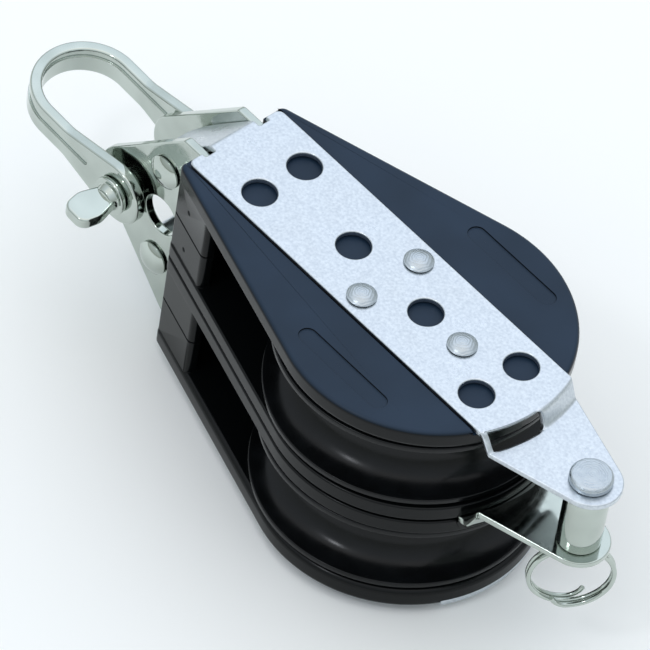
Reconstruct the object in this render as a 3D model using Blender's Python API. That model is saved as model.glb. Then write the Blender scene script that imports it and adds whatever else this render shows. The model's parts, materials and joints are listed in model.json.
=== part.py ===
"""Double sheave block with a bow shackle at its head and a becket at its tail.

The block lies on its side: +X runs from the shackle to the becket, +Z is the axis of both
sheaves, and the origin is under the middle of the bounding box. Inside the helper functions
the block's own axes are used, with x = 0 on the sheave axis and z = 0 halfway between the
two sheaves; the empty called block moves all of it to the final frame.
"""
import math

import bmesh
import bpy
from mathutils import Matrix, Vector

mm = 0.001

# ---------------------------------------------------------------- driving dimensions
FIT = 0.15 * mm               # clearance between pieces that touch
SEGMENTS = 40                 # sides of a large round piece
HOLE_SEGMENTS = 24            # sides of a wide hole
SMALL_SEGMENTS = 16           # sides of a rivet or a narrow hole

SHEAVE_RADIUS = 28.5 * mm
SHEAVE_WIDTH = 16.3 * mm
SHEAVE_OFFSET = 12.35 * mm    # height of a sheave's middle plane above the block's
SHEAVE_BORE = 17.9 * mm
FLANGE_LAND = 1.45 * mm
GROOVE_DEPTH = 7.3 * mm

HUB_RADIUS = 14.6 * mm
HUB_LENGTH = 17.0 * mm
BALL_RADIUS = 1.5 * mm
BALL_COUNT = 14
CAGE_HALF_THICKNESS = 0.45 * mm
CAGE_HEIGHT = 2.2 * mm

CHEEK_RADIUS = 28.6 * mm
CHEEK_CENTRE_X = 0.5 * mm
CHEEK_HEAD_X = -55.2 * mm
CHEEK_HEAD_HALF = 12.9 * mm
CAVITY_LOW = 3.7 * mm         # a sheave turns between these two heights
CAVITY_HIGH = 21.0 * mm
CHEEK_TOP = 25.4 * mm
CHEEK_PARTING = 0.28 * mm     # half of the gap between the two middle cheeks
CHEEK_EDGE_BEVEL = 0.5 * mm
LABEL_LENGTH = 23.0 * mm
LABEL_WIDTH = 3.8 * mm
LABEL_DEPTH = 0.35 * mm
LABEL_Y = 21.2 * mm

SPACER_LENGTH = 13.1 * mm
SPACER_THICKNESS = 2.4 * mm
SPACER_INSET = 0.25 * mm
HEAD_WALL_X = -52.9 * mm
LUG_POCKET_HALF = 8.2 * mm

STRAP_THICKNESS = 1.3 * mm
STRAP_TOP = 26.02 * mm
STRAP_HALF = 11.5 * mm
STRAP_HEAD_X = -54.4 * mm
STRAP_HOLE_RADIUS = 3.41 * mm
HOLE_PITCH = 20.3 * mm
HOLE_PAIR_Y = 5.63 * mm
NOTCH_DEPTH = 1.0 * mm
NOTCH_OUTER = 8.0 * mm
TAB_HALF = 5.5 * mm
TAB_LENGTH = 19.0 * mm
TAB_ANGLE = math.radians(45)
TAB_BEND_RADIUS = 1.6 * mm

PLAIN_TAIL = 28.9 * mm        # radius about the sheave axis where the armless strap ends
JOGGLE_START = 29.9 * mm      # radius where the becket step begins on the other two
JOGGLE_END = 32.5 * mm
BECKET_X = 46.2 * mm
ARM_END_RADIUS = 6.2 * mm
ARM_ROOT_HALF = 11.1 * mm
UPPER_ARM_TOP = 22.3 * mm
LOWER_ARM_TOP = 5.4 * mm
SLOT_WIDTH = 2.0 * mm
SLOT_OUTWARD = 0.2 * mm       # from the middle of the step to the middle of the slot
STRAP_CORNER = 0.9 * mm

RIVET_RADIUS = 1.75 * mm
RIVET_HEAD_RADIUS = 2.92 * mm
RIVET_HEAD_HEIGHT = 1.35 * mm
RIVET_HEAD_SIDE_X = -10.0 * mm
RIVET_HEAD_SIDE_Y = 7.17 * mm
RIVET_TAIL_SIDE_X = 10.07 * mm

LUG_INNER = 5.75 * mm
LUG_THICKNESS = 1.9 * mm
LUG_REAR_X = -53.6 * mm
LUG_SHOULDER_X = -59.75 * mm
LUG_TOP = 24.35 * mm
LUG_TIP_RADIUS = 8.13 * mm
LUG_HOLE_X = -63.0 * mm
LUG_HOLE_RADIUS = 4.35 * mm
CROSS_X = -63.3 * mm
CROSS_RIVET_RADIUS = 1.6 * mm
CROSS_HEAD_RADIUS = 3.6 * mm
CROSS_HEAD_HEIGHT = 1.7 * mm
CROSS_TUBE_RADIUS = 2.4 * mm

SHACKLE_X = LUG_SHOULDER_X - LUG_TOP + LUG_TIP_RADIUS * math.sqrt(2)
SHACKLE_TILT = math.radians(3)
SHACKLE_PIN_RADIUS = 2.5 * mm
BOW_INNER = 8.95 * mm
BOW_THICKNESS = 2.35 * mm
BOW_WIDTH = 6.5 * mm
BOW_CROWN_CENTRE = 21.6 * mm  # from the pin to the centre of the round end
EAR_RADIUS = 6.7 * mm
EAR_EXTRA = 0.12 * mm         # how far an ear stands proud of each face of its leg
EAR_FLARE = 15.0 * mm
PIN_TIP = 1.4 * mm            # how far the shackle pin stands out of the far ear
PIN_CHAMFER = 0.5 * mm
COLLAR_RADIUS = 4.0 * mm
COLLAR_LENGTH = 1.1 * mm
NECK_RADIUS = 2.9 * mm
NECK_LENGTH = 1.0 * mm
GRIP_SUNK = 0.6 * mm          # how far the grip reaches into the neck
GRIP_LENGTH = 8.2 * mm
GRIP_WIDTH = 7.4 * mm
GRIP_THICKNESS = 2.6 * mm

BECKET_PIN_RADIUS = 2.5 * mm
BECKET_HEAD_RADIUS = 4.2 * mm
BECKET_HEAD_HEIGHT = 1.6 * mm
BECKET_PIN_END = 1.8 * mm
BECKET_PIN_CHAMFER = 0.3 * mm
BUSH_RADIUS = 4.3 * mm

RING_RADIUS = 8.0 * mm
RING_WIRE_RADIUS = 0.55 * mm
RING_PITCH = 1.2 * mm
RING_HOLE_RADIUS = 1.35 * mm
RING_HOLE_Z = 3.0 * mm
RING_HEADING = math.radians(54)   # direction of the ring's hole, from +X towards +Y

# ------------------------------------------------------------------- derived places
STRAP_BOTTOM = STRAP_TOP - STRAP_THICKNESS
LUG_OUTER = LUG_INNER + LUG_THICKNESS
BALL_PITCH_RADIUS = (HUB_RADIUS + SHEAVE_BORE) / 2
BOW_OUTER = BOW_INNER + BOW_THICKNESS
BOW_REACH = BOW_CROWN_CENTRE + BOW_OUTER
RIVETS = {
    "axle_rivet_head_near": (RIVET_HEAD_SIDE_X, -RIVET_HEAD_SIDE_Y),
    "axle_rivet_head_far": (RIVET_HEAD_SIDE_X, RIVET_HEAD_SIDE_Y),
    "axle_rivet_tail": (RIVET_TAIL_SIDE_X, 0.0),
}
STRAP_HOLES = [(-2 * HOLE_PITCH, -HOLE_PAIR_Y), (-2 * HOLE_PITCH, HOLE_PAIR_Y), (-HOLE_PITCH, 0.0),
               (0.0, 0.0), (HOLE_PITCH, -HOLE_PAIR_Y), (HOLE_PITCH, HOLE_PAIR_Y)]
HEAD_END_X = (SHACKLE_X - BOW_REACH * math.cos(SHACKLE_TILT)
              - BOW_WIDTH / 2 * math.sin(SHACKLE_TILT))
TAIL_END_X = BECKET_X + ARM_END_RADIUS
FRAME_X = -(HEAD_END_X + TAIL_END_X) / 2
FRAME_Z = STRAP_TOP + FIT + RIVET_HEAD_HEIGHT


# ------------------------------------------------------------------------- helpers
def clear_scene():
    """Removes every object, so that the script gives the same scene each time."""
    for item in list(bpy.data.objects):
        bpy.data.objects.remove(item, do_unlink=True)


def make_material(name, colour, roughness, metallic):
    """One Principled BSDF in a plain colour."""
    material = bpy.data.materials.new(name)
    material.use_nodes = True
    shader = material.node_tree.nodes["Principled BSDF"]
    shader.inputs["Base Color"].default_value = (*colour, 1)
    shader.inputs["Roughness"].default_value = roughness
    shader.inputs["Metallic"].default_value = metallic
    return material


def place_mesh(name, bm, material, parent, location=(0, 0, 0), rotation=(0, 0, 0)):
    """Turns a bmesh into a named object with smooth round sides, faces as they are."""
    mesh = bpy.data.meshes.new(name)
    bm.to_mesh(mesh)
    bm.free()
    mesh.shade_smooth()
    mesh.set_sharp_from_angle(angle=math.radians(35))
    item = bpy.data.objects.new(name, mesh)
    bpy.context.scene.collection.objects.link(item)
    item.parent = parent
    item.location = location
    item.rotation_euler = rotation
    if material:
        mesh.materials.append(material)
    return item


def add_object(name, bm, material, parent, location=(0, 0, 0), rotation=(0, 0, 0)):
    """Turns a closed bmesh into a named object with outward normals."""
    bmesh.ops.recalc_face_normals(bm, faces=bm.faces)
    return place_mesh(name, bm, material, parent, location, rotation)


def combine(target, bm, operation, label):
    """Cuts bm from the target, or joins it on, with a hidden object and a Boolean."""
    helper = add_object(f"{target.name}_{label}", bm, None, target)
    helper.hide_render = True
    helper.display_type = "WIRE"
    modifier = target.modifiers.new(label, "BOOLEAN")
    modifier.operation = operation
    modifier.object = helper
    modifier.solver = "EXACT"


def prism(outline, low, high, bm=None):
    """A closed outline in x and y, extruded from one height to another."""
    bm = bm or bmesh.new()
    face = bm.faces.new([bm.verts.new((x, y, low)) for x, y in outline])
    top = bmesh.ops.extrude_face_region(bm, geom=[face])
    raised = [g for g in top["geom"] if isinstance(g, bmesh.types.BMVert)]
    bmesh.ops.translate(bm, verts=raised, vec=(0, 0, high - low))
    return bm


def turned(profile, segments=SEGMENTS):
    """A closed section of (radius, height) points, turned once around the z axis."""
    bm = bmesh.new()
    ring = [bm.verts.new((r, 0, z)) for r, z in profile]
    edges = [bm.edges.new((ring[i - 1], ring[i])) for i in range(len(ring))]
    bmesh.ops.spin(bm, geom=ring + edges, cent=(0, 0, 0), axis=(0, 0, 1),
                   angle=2 * math.pi, steps=segments, use_merge=True)
    bmesh.ops.remove_doubles(bm, verts=bm.verts, dist=1e-7)
    return bm


def cylinder(x, y, radius, low, high, segments=SMALL_SEGMENTS, bm=None):
    """An upright cylinder, added to bm when one is given."""
    circle = [(x + radius * math.cos(2 * math.pi * i / segments),
               y + radius * math.sin(2 * math.pi * i / segments)) for i in range(segments)]
    return prism(circle, low, high, bm)


def filleted(corners, steps=6):
    """An outline from (x, y, radius) corners, with an arc of that radius at each of them."""
    outline = []
    for i, (x, y, radius) in enumerate(corners):
        corner = Vector((x, y))
        back = (Vector(corners[i - 1][:2]) - corner).normalized()
        ahead = (Vector(corners[(i + 1) % len(corners)][:2]) - corner).normalized()
        if radius == 0:
            outline.append((x, y))
            continue
        half = back.angle(ahead) / 2
        centre = corner + (back + ahead).normalized() * radius / math.sin(half)
        start = corner + back * radius / math.tan(half) - centre
        end = corner + ahead * radius / math.tan(half) - centre
        sweep = start.angle_signed(end)
        for k in range(steps + 1):
            point = centre + Matrix.Rotation(-sweep * k / steps, 2) @ start
            outline.append((point.x, point.y))
    return outline


def turn_to_y(bm):
    """Turns a piece made along z so that it lies along y."""
    bmesh.ops.rotate(bm, verts=bm.verts, matrix=Matrix.Rotation(math.pi / 2, 3, "X"))
    return bm


def bevel_rims(bm, width):
    """Rounds the edges where an upright outline meets its top and bottom faces."""
    rims = [e for e in bm.edges
            if len(e.link_faces) == 2 and e.calc_face_angle() > math.radians(60)
            and abs(e.verts[0].co.z - e.verts[1].co.z) < 1e-7]
    bmesh.ops.bevel(bm, geom=rims, offset=width, segments=2, affect="EDGES", profile=0.5)
    return bm


def dome(radius, height, base, steps=4):
    """Section points of a domed rivet head, from its rim up to the axis."""
    sphere = (radius ** 2 + height ** 2) / (2 * height)
    span = math.asin(radius / sphere)
    return [(sphere * math.sin(span * (1 - k / steps)),
             base + height - sphere * (1 - math.cos(span * (1 - k / steps))))
            for k in range(steps + 1)]


# -------------------------------------------------------------------------- straps
def strap_rows(tail):
    """Rows of (middle x, bow of the row, half width, drop) from the head to the tail.

    The row's bow is 1 where it follows a circle about the sheave axis, as the becket's
    step does, and 0 where it runs straight across.
    """
    rows = [(STRAP_HEAD_X, 0, STRAP_HALF, 0), (STRAP_HEAD_X + NOTCH_DEPTH, 0, STRAP_HALF, 0)]
    rows += [(x * mm, 0, STRAP_HALF, 0) for x in (-40, -20, 0)]
    rows += [(20 * mm, 0.6, STRAP_HALF, 0)]
    if tail == "plain":
        return rows + [(PLAIN_TAIL, 1, STRAP_HALF, 0)]
    steps = 6
    for k in range(steps + 1):
        t = k / steps
        reach = JOGGLE_START + (JOGGLE_END - JOGGLE_START) * t
        half = STRAP_HALF + (ARM_ROOT_HALF - STRAP_HALF) * t
        rows.append((reach, 1, half, 3 * t ** 2 - 2 * t ** 3))
    slope = (ARM_ROOT_HALF - ARM_END_RADIUS) / (BECKET_X - JOGGLE_END)
    for x, bow in ((36 * mm, 0.6), (41 * mm, 0.2)):
        rows.append((x, bow, ARM_ROOT_HALF - slope * (x - JOGGLE_END), 1))
    rows.append((BECKET_X, 0, ARM_END_RADIUS, 1))
    for k in range(1, 8):
        angle = math.pi / 2 * k / 7
        rows.append((BECKET_X + ARM_END_RADIUS * math.sin(angle), 0,
                     ARM_END_RADIUS * math.cos(angle), 1))
    return rows


def tab_points():
    """Points (x, z) down the bent tab, from the strap's head edge."""
    points = []
    for k in range(1, 4):
        angle = TAB_ANGLE * k / 3
        points.append((STRAP_HEAD_X - TAB_BEND_RADIUS * math.sin(angle),
                       -TAB_BEND_RADIUS * (1 - math.cos(angle))))
    x, z = points[-1]
    for length in (TAB_LENGTH * 0.6, TAB_LENGTH * 0.85, TAB_LENGTH):
        points.append((x - length * math.cos(TAB_ANGLE), z - length * math.sin(TAB_ANGLE)))
    return points


def make_strap(name, material, block, height, side, tail, step, tab, holes):
    """A bent strap: one sheet of faces, thickened away from its outer face.

    height is the outer face, side is +1 when that face looks up, step is how far the becket
    arm lies below it, and tab adds the bent tongue between the lugs.
    """
    bm = bmesh.new()
    fractions = [-1, -NOTCH_OUTER / STRAP_HALF, -TAB_HALF / STRAP_HALF, 0,
                 TAB_HALF / STRAP_HALF, NOTCH_OUTER / STRAP_HALF, 1]
    grid = []
    for x, bow, half, drop in strap_rows(tail):
        line = []
        for fraction in fractions:
            y = half * fraction
            arc = math.sqrt(max(x * x - y * y, 0)) - x if x > 0 else 0
            corner = STRAP_CORNER if x == STRAP_HEAD_X and abs(fraction) == 1 else 0
            line.append(bm.verts.new((x + bow * arc + corner, y, height - side * step * drop)))
        grid.append(line)
    for i in range(len(grid) - 1):
        for j in range(len(fractions) - 1):
            if i == 0 and j in (1, 4):
                continue
            bm.faces.new((grid[i][j], grid[i + 1][j], grid[i + 1][j + 1], grid[i][j + 1]))
    if tab:
        previous = grid[0][2:5]
        widths = [1, 1, 1, 1, 0.85, 0.45]
        for (x, z), width in zip(tab_points(), widths):
            line = [bm.verts.new((x, y * width, height + side * z)) for y in (-TAB_HALF, 0, TAB_HALF)]
            for j in range(2):
                bm.faces.new((line[j], previous[j], previous[j + 1], line[j + 1]))
            previous = line
    bmesh.ops.remove_doubles(bm, verts=bm.verts, dist=1e-6)
    if side < 0:
        bmesh.ops.reverse_faces(bm, faces=bm.faces)
    strap = place_mesh(name, bm, material, block)
    thicken = strap.modifiers.new("thickness", "SOLIDIFY")
    thicken.thickness = STRAP_THICKNESS
    thicken.offset = -1
    thicken.use_even_offset = True
    low, high = height - 4 * mm, height + 4 * mm
    cutter = bmesh.new()
    if holes:
        for x, y in STRAP_HOLES:
            cylinder(x, y, STRAP_HOLE_RADIUS, low, high, HOLE_SEGMENTS, bm=cutter)
    for x, y in RIVETS.values():
        cylinder(x, y, RIVET_RADIUS + FIT, low, high, bm=cutter)
    if tail == "arm":
        middle = height - side * step
        cylinder(BECKET_X, 0, BECKET_PIN_RADIUS + FIT, middle - 3 * mm, middle + 3 * mm, bm=cutter)
    combine(strap, cutter, "DIFFERENCE", "holes")
    return strap


def becket_slot():
    """The curved slot through the near half of the upper becket step."""
    middle = (JOGGLE_START + JOGGLE_END) / 2 + SLOT_OUTWARD
    start, end = math.radians(-19), math.radians(3)
    steps = 8
    outer = [(middle + SLOT_WIDTH / 2, start + (end - start) * k / steps) for k in range(steps + 1)]
    inner = [(middle - SLOT_WIDTH / 2, a) for _, a in reversed(outer)]
    outline = [(r * math.cos(a), r * math.sin(a)) for r, a in outer + inner]
    return prism(outline, UPPER_ARM_TOP - 4 * mm, STRAP_TOP + 3 * mm)


def make_straps(steel, block):
    upper = make_strap("strap_top", steel, block, STRAP_TOP, 1, "arm",
                       STRAP_TOP - UPPER_ARM_TOP, True, True)
    combine(upper, becket_slot(), "DIFFERENCE", "slot")
    make_strap("strap_bottom", steel, block, -STRAP_TOP, -1, "plain", 0, True, True)
    middle = STRAP_THICKNESS / 2
    make_strap("strap_centre", steel, block, middle, 1, "arm", middle - LOWER_ARM_TOP, False, False)


# -------------------------------------------------------------------------- cheeks
def cheek_outline(inset=0.0):
    """Narrow head, two straight sides and a round tail that the sides meet smoothly."""
    radius = CHEEK_RADIUS - inset
    head = Vector((CHEEK_HEAD_X + inset - CHEEK_CENTRE_X, CHEEK_HEAD_HALF - inset))
    touch = math.atan2(head.y, head.x) - math.acos(radius / head.length)
    steps = 36
    arc = []
    for k in range(steps + 1):
        angle = touch * (2 * k / steps - 1)
        arc.append((CHEEK_CENTRE_X + radius * math.cos(angle), radius * math.sin(angle)))
    x, y = CHEEK_HEAD_X + inset, CHEEK_HEAD_HALF - inset
    pocket = LUG_REAR_X + 2 * FIT
    head_corners = [(x, y), (x, LUG_POCKET_HALF), (pocket, LUG_POCKET_HALF),
                    (pocket, -LUG_POCKET_HALF), (x, -LUG_POCKET_HALF), (x, -y)]
    return arc + head_corners


def spacer_outline():
    """U-shaped head spacer: a wall along each side of the head and one across it."""
    head = Vector((CHEEK_HEAD_X + SPACER_INSET, CHEEK_HEAD_HALF - SPACER_INSET))
    side = Vector(cheek_outline()[36]) - Vector((CHEEK_HEAD_X, CHEEK_HEAD_HALF))
    along = side.normalized()
    inward = Vector((along.y, -along.x))
    tip = head + along * SPACER_LENGTH
    tip_in = tip + inward * SPACER_THICKNESS
    wall_x = HEAD_WALL_X + SPACER_THICKNESS
    bend = tip_in - along * ((tip_in.x - wall_x) / along.x)
    half = [(HEAD_WALL_X, LUG_POCKET_HALF + FIT, 0), (head.x, LUG_POCKET_HALF + FIT, 0),
            (head.x, head.y, 0.4 * mm), (tip.x, tip.y, 1.3 * mm), (tip_in.x, tip_in.y, 0.4 * mm),
            (bend.x, bend.y, 0.8 * mm)]
    mirrored = [(x, -y, r) for x, y, r in reversed(half)]
    return filleted(half + mirrored, steps=4)


def make_cheek(name, material, block, outer, inner, seam, channel, labels=()):
    """One cheek plate with its half of the head spacer standing on the inner face.

    outer and inner are the heights of the plate's faces, seam is where its spacer ends,
    channel is the height of the floor of the strap's channel, and labels holds the y of each
    blank oval recess in the outer face.
    """
    low, high = min(outer, inner), max(outer, inner)
    plate = add_object(name, bevel_rims(prism(cheek_outline(), low, high), CHEEK_EDGE_BEVEL),
                       material, block)
    root = inner + math.copysign(2 * mm, outer - inner)
    combine(plate, prism(spacer_outline(), min(root, seam), max(root, seam)), "UNION", "spacer")
    reach = 80 * mm
    clear = outer + math.copysign(1 * mm, outer - inner)
    half = STRAP_HALF + 2 * FIT
    channel_box = [(-reach, -half), (reach, -half), (reach, half), (-reach, half)]
    combine(plate, prism(channel_box, min(channel, clear), max(channel, clear)),
            "DIFFERENCE", "channel")
    cutter = bmesh.new()
    for x, y in RIVETS.values():
        cylinder(x, y, RIVET_RADIUS + FIT, low - 3 * mm, high + 3 * mm, bm=cutter)
    for y in labels:
        prism(label_outline(y), outer - LABEL_DEPTH, outer + 1 * mm, cutter)
    combine(plate, cutter, "DIFFERENCE", "holes")


def label_outline(y):
    """A blank oval, as long as the label it would carry."""
    radius = LABEL_WIDTH / 2
    reach = LABEL_LENGTH / 2 - radius
    steps = 6
    outline = []
    for k in range(2 * (steps + 1)):
        end = reach if k <= steps else -reach
        angle = math.pi * (k if k <= steps else k - 1) / steps - math.pi / 2
        outline.append((end + radius * math.cos(angle), y + radius * math.sin(angle)))
    return outline


def make_cheeks(plastic, block):
    seam = SHEAVE_OFFSET
    strap_gap = 2 * FIT
    make_cheek("cheek_top", plastic, block, CHEEK_TOP, CAVITY_HIGH, seam + FIT,
               STRAP_BOTTOM - strap_gap, (-LABEL_Y, LABEL_Y))
    middle_floor = STRAP_THICKNESS / 2 + strap_gap
    make_cheek("cheek_mid_upper", plastic, block, CHEEK_PARTING, CAVITY_LOW, seam - FIT, middle_floor)
    make_cheek("cheek_mid_lower", plastic, block, -CHEEK_PARTING, -CAVITY_LOW, FIT - seam, -middle_floor)
    make_cheek("cheek_bottom", plastic, block, -CHEEK_TOP, -CAVITY_HIGH, -seam - FIT,
               strap_gap - STRAP_BOTTOM)


# ------------------------------------------------------------- sheaves and bearings
def sheave_profile():
    """Section of a sheave: bore, two flanges and a rounded rope groove."""
    half = SHEAVE_WIDTH / 2
    shoulder = half - FLANGE_LAND
    steps = 10
    groove = []
    for k in range(steps + 1):
        angle = math.pi * k / steps
        groove.append((SHEAVE_RADIUS - GROOVE_DEPTH * math.sin(angle), shoulder * math.cos(angle)))
    edge = 0.4 * mm
    top = [(SHEAVE_BORE, half), (SHEAVE_RADIUS - edge, half), (SHEAVE_RADIUS, half - edge)]
    bottom = [(r, -z) for r, z in reversed(top)]
    return top + groove + bottom


def hub_profile():
    """Section of the fixed hub, with a shallow race for the balls halfway up."""
    half = HUB_LENGTH / 2
    race = BALL_RADIUS * 0.8
    relief = 0.25 * mm
    return [(0, half), (HUB_RADIUS - relief, half), (HUB_RADIUS - relief, race), (HUB_RADIUS, race * 0.4),
            (HUB_RADIUS, -race * 0.4), (HUB_RADIUS - relief, -race), (HUB_RADIUS - relief, -half),
            (0, -half)]


def cage_profile():
    inner = BALL_PITCH_RADIUS - CAGE_HALF_THICKNESS
    outer = BALL_PITCH_RADIUS + CAGE_HALF_THICKNESS
    half = CAGE_HEIGHT / 2
    return [(inner, half), (outer, half), (outer, -half), (inner, -half)]


def ring_of_balls():
    bm = bmesh.new()
    for k in range(BALL_COUNT):
        angle = 2 * math.pi * k / BALL_COUNT
        place = Matrix.Translation((BALL_PITCH_RADIUS * math.cos(angle),
                                    BALL_PITCH_RADIUS * math.sin(angle), 0))
        bmesh.ops.create_uvsphere(bm, u_segments=8, v_segments=5, radius=BALL_RADIUS,
                                  matrix=place @ Matrix.Rotation(angle + 0.1, 4, "Z"))
    return bm


def make_sheave_set(level, sign, plastic, metal, white, block):
    """A sheave with its fixed hub and the caged balls between them."""
    place = (0, 0, sign * SHEAVE_OFFSET)
    add_object(f"sheave_{level}", turned(sheave_profile()), plastic, block, place)
    hub = add_object(f"hub_{level}", turned(hub_profile()), metal, block, place)
    cutter = bmesh.new()
    for x, y in RIVETS.values():
        cylinder(x, y, RIVET_RADIUS + FIT, -HUB_LENGTH, HUB_LENGTH, bm=cutter)
    combine(hub, cutter, "DIFFERENCE", "rivet_holes")
    cage = add_object(f"balls_{level}", turned(cage_profile(), 28), white, block, place)
    combine(cage, ring_of_balls(), "UNION", "balls")


def rivet_profile(shank, head_radius, head_height, seat):
    """Section of a rivet with a dome at each end; seat is the height of a head's base."""
    top = list(reversed(dome(head_radius, head_height, seat))) + [(shank, seat)]
    return top + [(r, -z) for r, z in reversed(top)]


def make_axle_rivets(steel, block):
    for name, (x, y) in RIVETS.items():
        seat = STRAP_TOP + FIT
        profile = rivet_profile(RIVET_RADIUS, RIVET_HEAD_RADIUS, RIVET_HEAD_HEIGHT, seat)
        add_object(name, turned(profile, SMALL_SEGMENTS), steel, block, (x, y, 0))


# ------------------------------------------------------------------- head fittings
def lug_outline():
    """Lug in x and z: an upright rear edge, 45 degree shoulders and a tip around the pin."""
    apex = LUG_SHOULDER_X - LUG_TOP
    corners = [(LUG_REAR_X, -LUG_TOP, 0.4 * mm), (LUG_REAR_X, LUG_TOP, 0.4 * mm),
               (LUG_SHOULDER_X, LUG_TOP, 1.0 * mm), (apex, 0, LUG_TIP_RADIUS),
               (LUG_SHOULDER_X, -LUG_TOP, 1.0 * mm)]
    return filleted(corners, steps=8)


def make_lug(name, steel, block, y_low):
    """A lug plate is drawn flat and turned upright, so its drawing's y runs along -z."""
    plate = prism([(x, -z) for x, z in lug_outline()], 0, LUG_THICKNESS)
    lug = add_object(name, plate, steel, block, (0, y_low + LUG_THICKNESS, 0), (math.pi / 2, 0, 0))
    cutter = bmesh.new()
    low, high = -1 * mm, LUG_THICKNESS + 1 * mm
    cylinder(SHACKLE_X, 0, SHACKLE_PIN_RADIUS + FIT, low, high, bm=cutter)
    cylinder(LUG_HOLE_X, 0, LUG_HOLE_RADIUS, low, high, HOLE_SEGMENTS, bm=cutter)
    for z in (-SHEAVE_OFFSET, SHEAVE_OFFSET):
        cylinder(CROSS_X, z, CROSS_RIVET_RADIUS + FIT, low, high, bm=cutter)
    combine(lug, cutter, "DIFFERENCE", "holes")


def make_cross_rivets(steel, block):
    seat = LUG_OUTER + FIT
    tube_half = LUG_INNER - FIT
    bore = CROSS_RIVET_RADIUS + FIT
    tube = [(bore, tube_half), (CROSS_TUBE_RADIUS, tube_half), (CROSS_TUBE_RADIUS, -tube_half),
            (bore, -tube_half)]
    for level, sign in (("upper", 1), ("lower", -1)):
        place = (CROSS_X, 0, sign * SHEAVE_OFFSET)
        profile = rivet_profile(CROSS_RIVET_RADIUS, CROSS_HEAD_RADIUS, CROSS_HEAD_HEIGHT, seat)
        add_object(f"cross_rivet_{level}", turn_to_y(turned(profile, SMALL_SEGMENTS)), steel, block, place)
        add_object(f"cross_tube_{level}", turn_to_y(turned(tube, SMALL_SEGMENTS)), steel, block, place)


# ------------------------------------------------------------------------- shackle
def bow_outline():
    """The bent strip seen along z: straight legs and a half-round crown."""
    steps = 20
    outer, inner = [(0, -BOW_OUTER)], [(0, -BOW_INNER)]
    for k in range(steps + 1):
        angle = -math.pi / 2 - math.pi * k / steps
        outer.append((-BOW_CROWN_CENTRE + BOW_OUTER * math.cos(angle), BOW_OUTER * math.sin(angle)))
        inner.append((-BOW_CROWN_CENTRE + BOW_INNER * math.cos(angle), BOW_INNER * math.sin(angle)))
    outer.append((0, BOW_OUTER))
    inner.append((0, BOW_INNER))
    return outer + list(reversed(inner))


def ear_outline():
    """The widened end of a leg seen along y, round about the pin and flared into the leg."""
    head = Vector((-EAR_FLARE, BOW_WIDTH / 2))
    touch = math.atan2(head.y, head.x) - math.acos(EAR_RADIUS / head.length)
    steps = 20
    arc = [(EAR_RADIUS * math.cos(touch * (2 * k / steps - 1)),
            EAR_RADIUS * math.sin(touch * (2 * k / steps - 1))) for k in range(steps + 1)]
    return arc + [(-EAR_FLARE, BOW_WIDTH / 2 - 0.01 * mm), (-EAR_FLARE, 0.01 * mm - BOW_WIDTH / 2)]


def make_shackle(steel, block):
    pivot = bpy.data.objects.new("shackle_pivot", None)
    bpy.context.scene.collection.objects.link(pivot)
    pivot.parent = block
    pivot.location = (SHACKLE_X, 0, 0)
    pivot.rotation_euler = (0, SHACKLE_TILT, 0)
    bow = add_object("shackle_bow", prism(bow_outline(), -BOW_WIDTH / 2, BOW_WIDTH / 2), steel, pivot)
    for y_high, label in ((-BOW_INNER, "ear_near"), (BOW_OUTER, "ear_far")):
        ear = turn_to_y(prism(ear_outline(), -EAR_EXTRA, BOW_THICKNESS + EAR_EXTRA))
        bmesh.ops.translate(ear, verts=ear.verts, vec=(0, y_high, 0))
        combine(bow, ear, "UNION", label)
    bore = turn_to_y(cylinder(0, 0, SHACKLE_PIN_RADIUS + FIT, -20 * mm, 20 * mm))
    combine(bow, bore, "DIFFERENCE", "pin_bore")

    collar = BOW_OUTER + EAR_EXTRA + FIT
    neck = collar + COLLAR_LENGTH
    grip = neck + NECK_LENGTH
    tip = BOW_OUTER + PIN_TIP
    profile = [(0, grip), (NECK_RADIUS, grip), (NECK_RADIUS, neck), (COLLAR_RADIUS, neck),
               (COLLAR_RADIUS, collar), (SHACKLE_PIN_RADIUS, collar),
               (SHACKLE_PIN_RADIUS, PIN_CHAMFER - tip), (SHACKLE_PIN_RADIUS - PIN_CHAMFER, -tip), (0, -tip)]
    pin = add_object("shackle_pin", turn_to_y(turned(profile, 24)), steel, pivot)
    start, end = GRIP_SUNK - grip, -grip - GRIP_LENGTH
    half = GRIP_WIDTH / 2
    corners = [(-half * 0.7, start, 0.6 * mm), (-half, (start + end) / 2, 4 * mm), (-half * 0.8, end, 2.2 * mm),
               (half * 0.8, end, 2.2 * mm), (half, (start + end) / 2, 4 * mm), (half * 0.7, start, 0.6 * mm)]
    paddle = bevel_rims(prism(filleted(corners, 4), -GRIP_THICKNESS / 2, GRIP_THICKNESS / 2), 0.35 * mm)
    combine(pin, paddle, "UNION", "grip")


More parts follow.
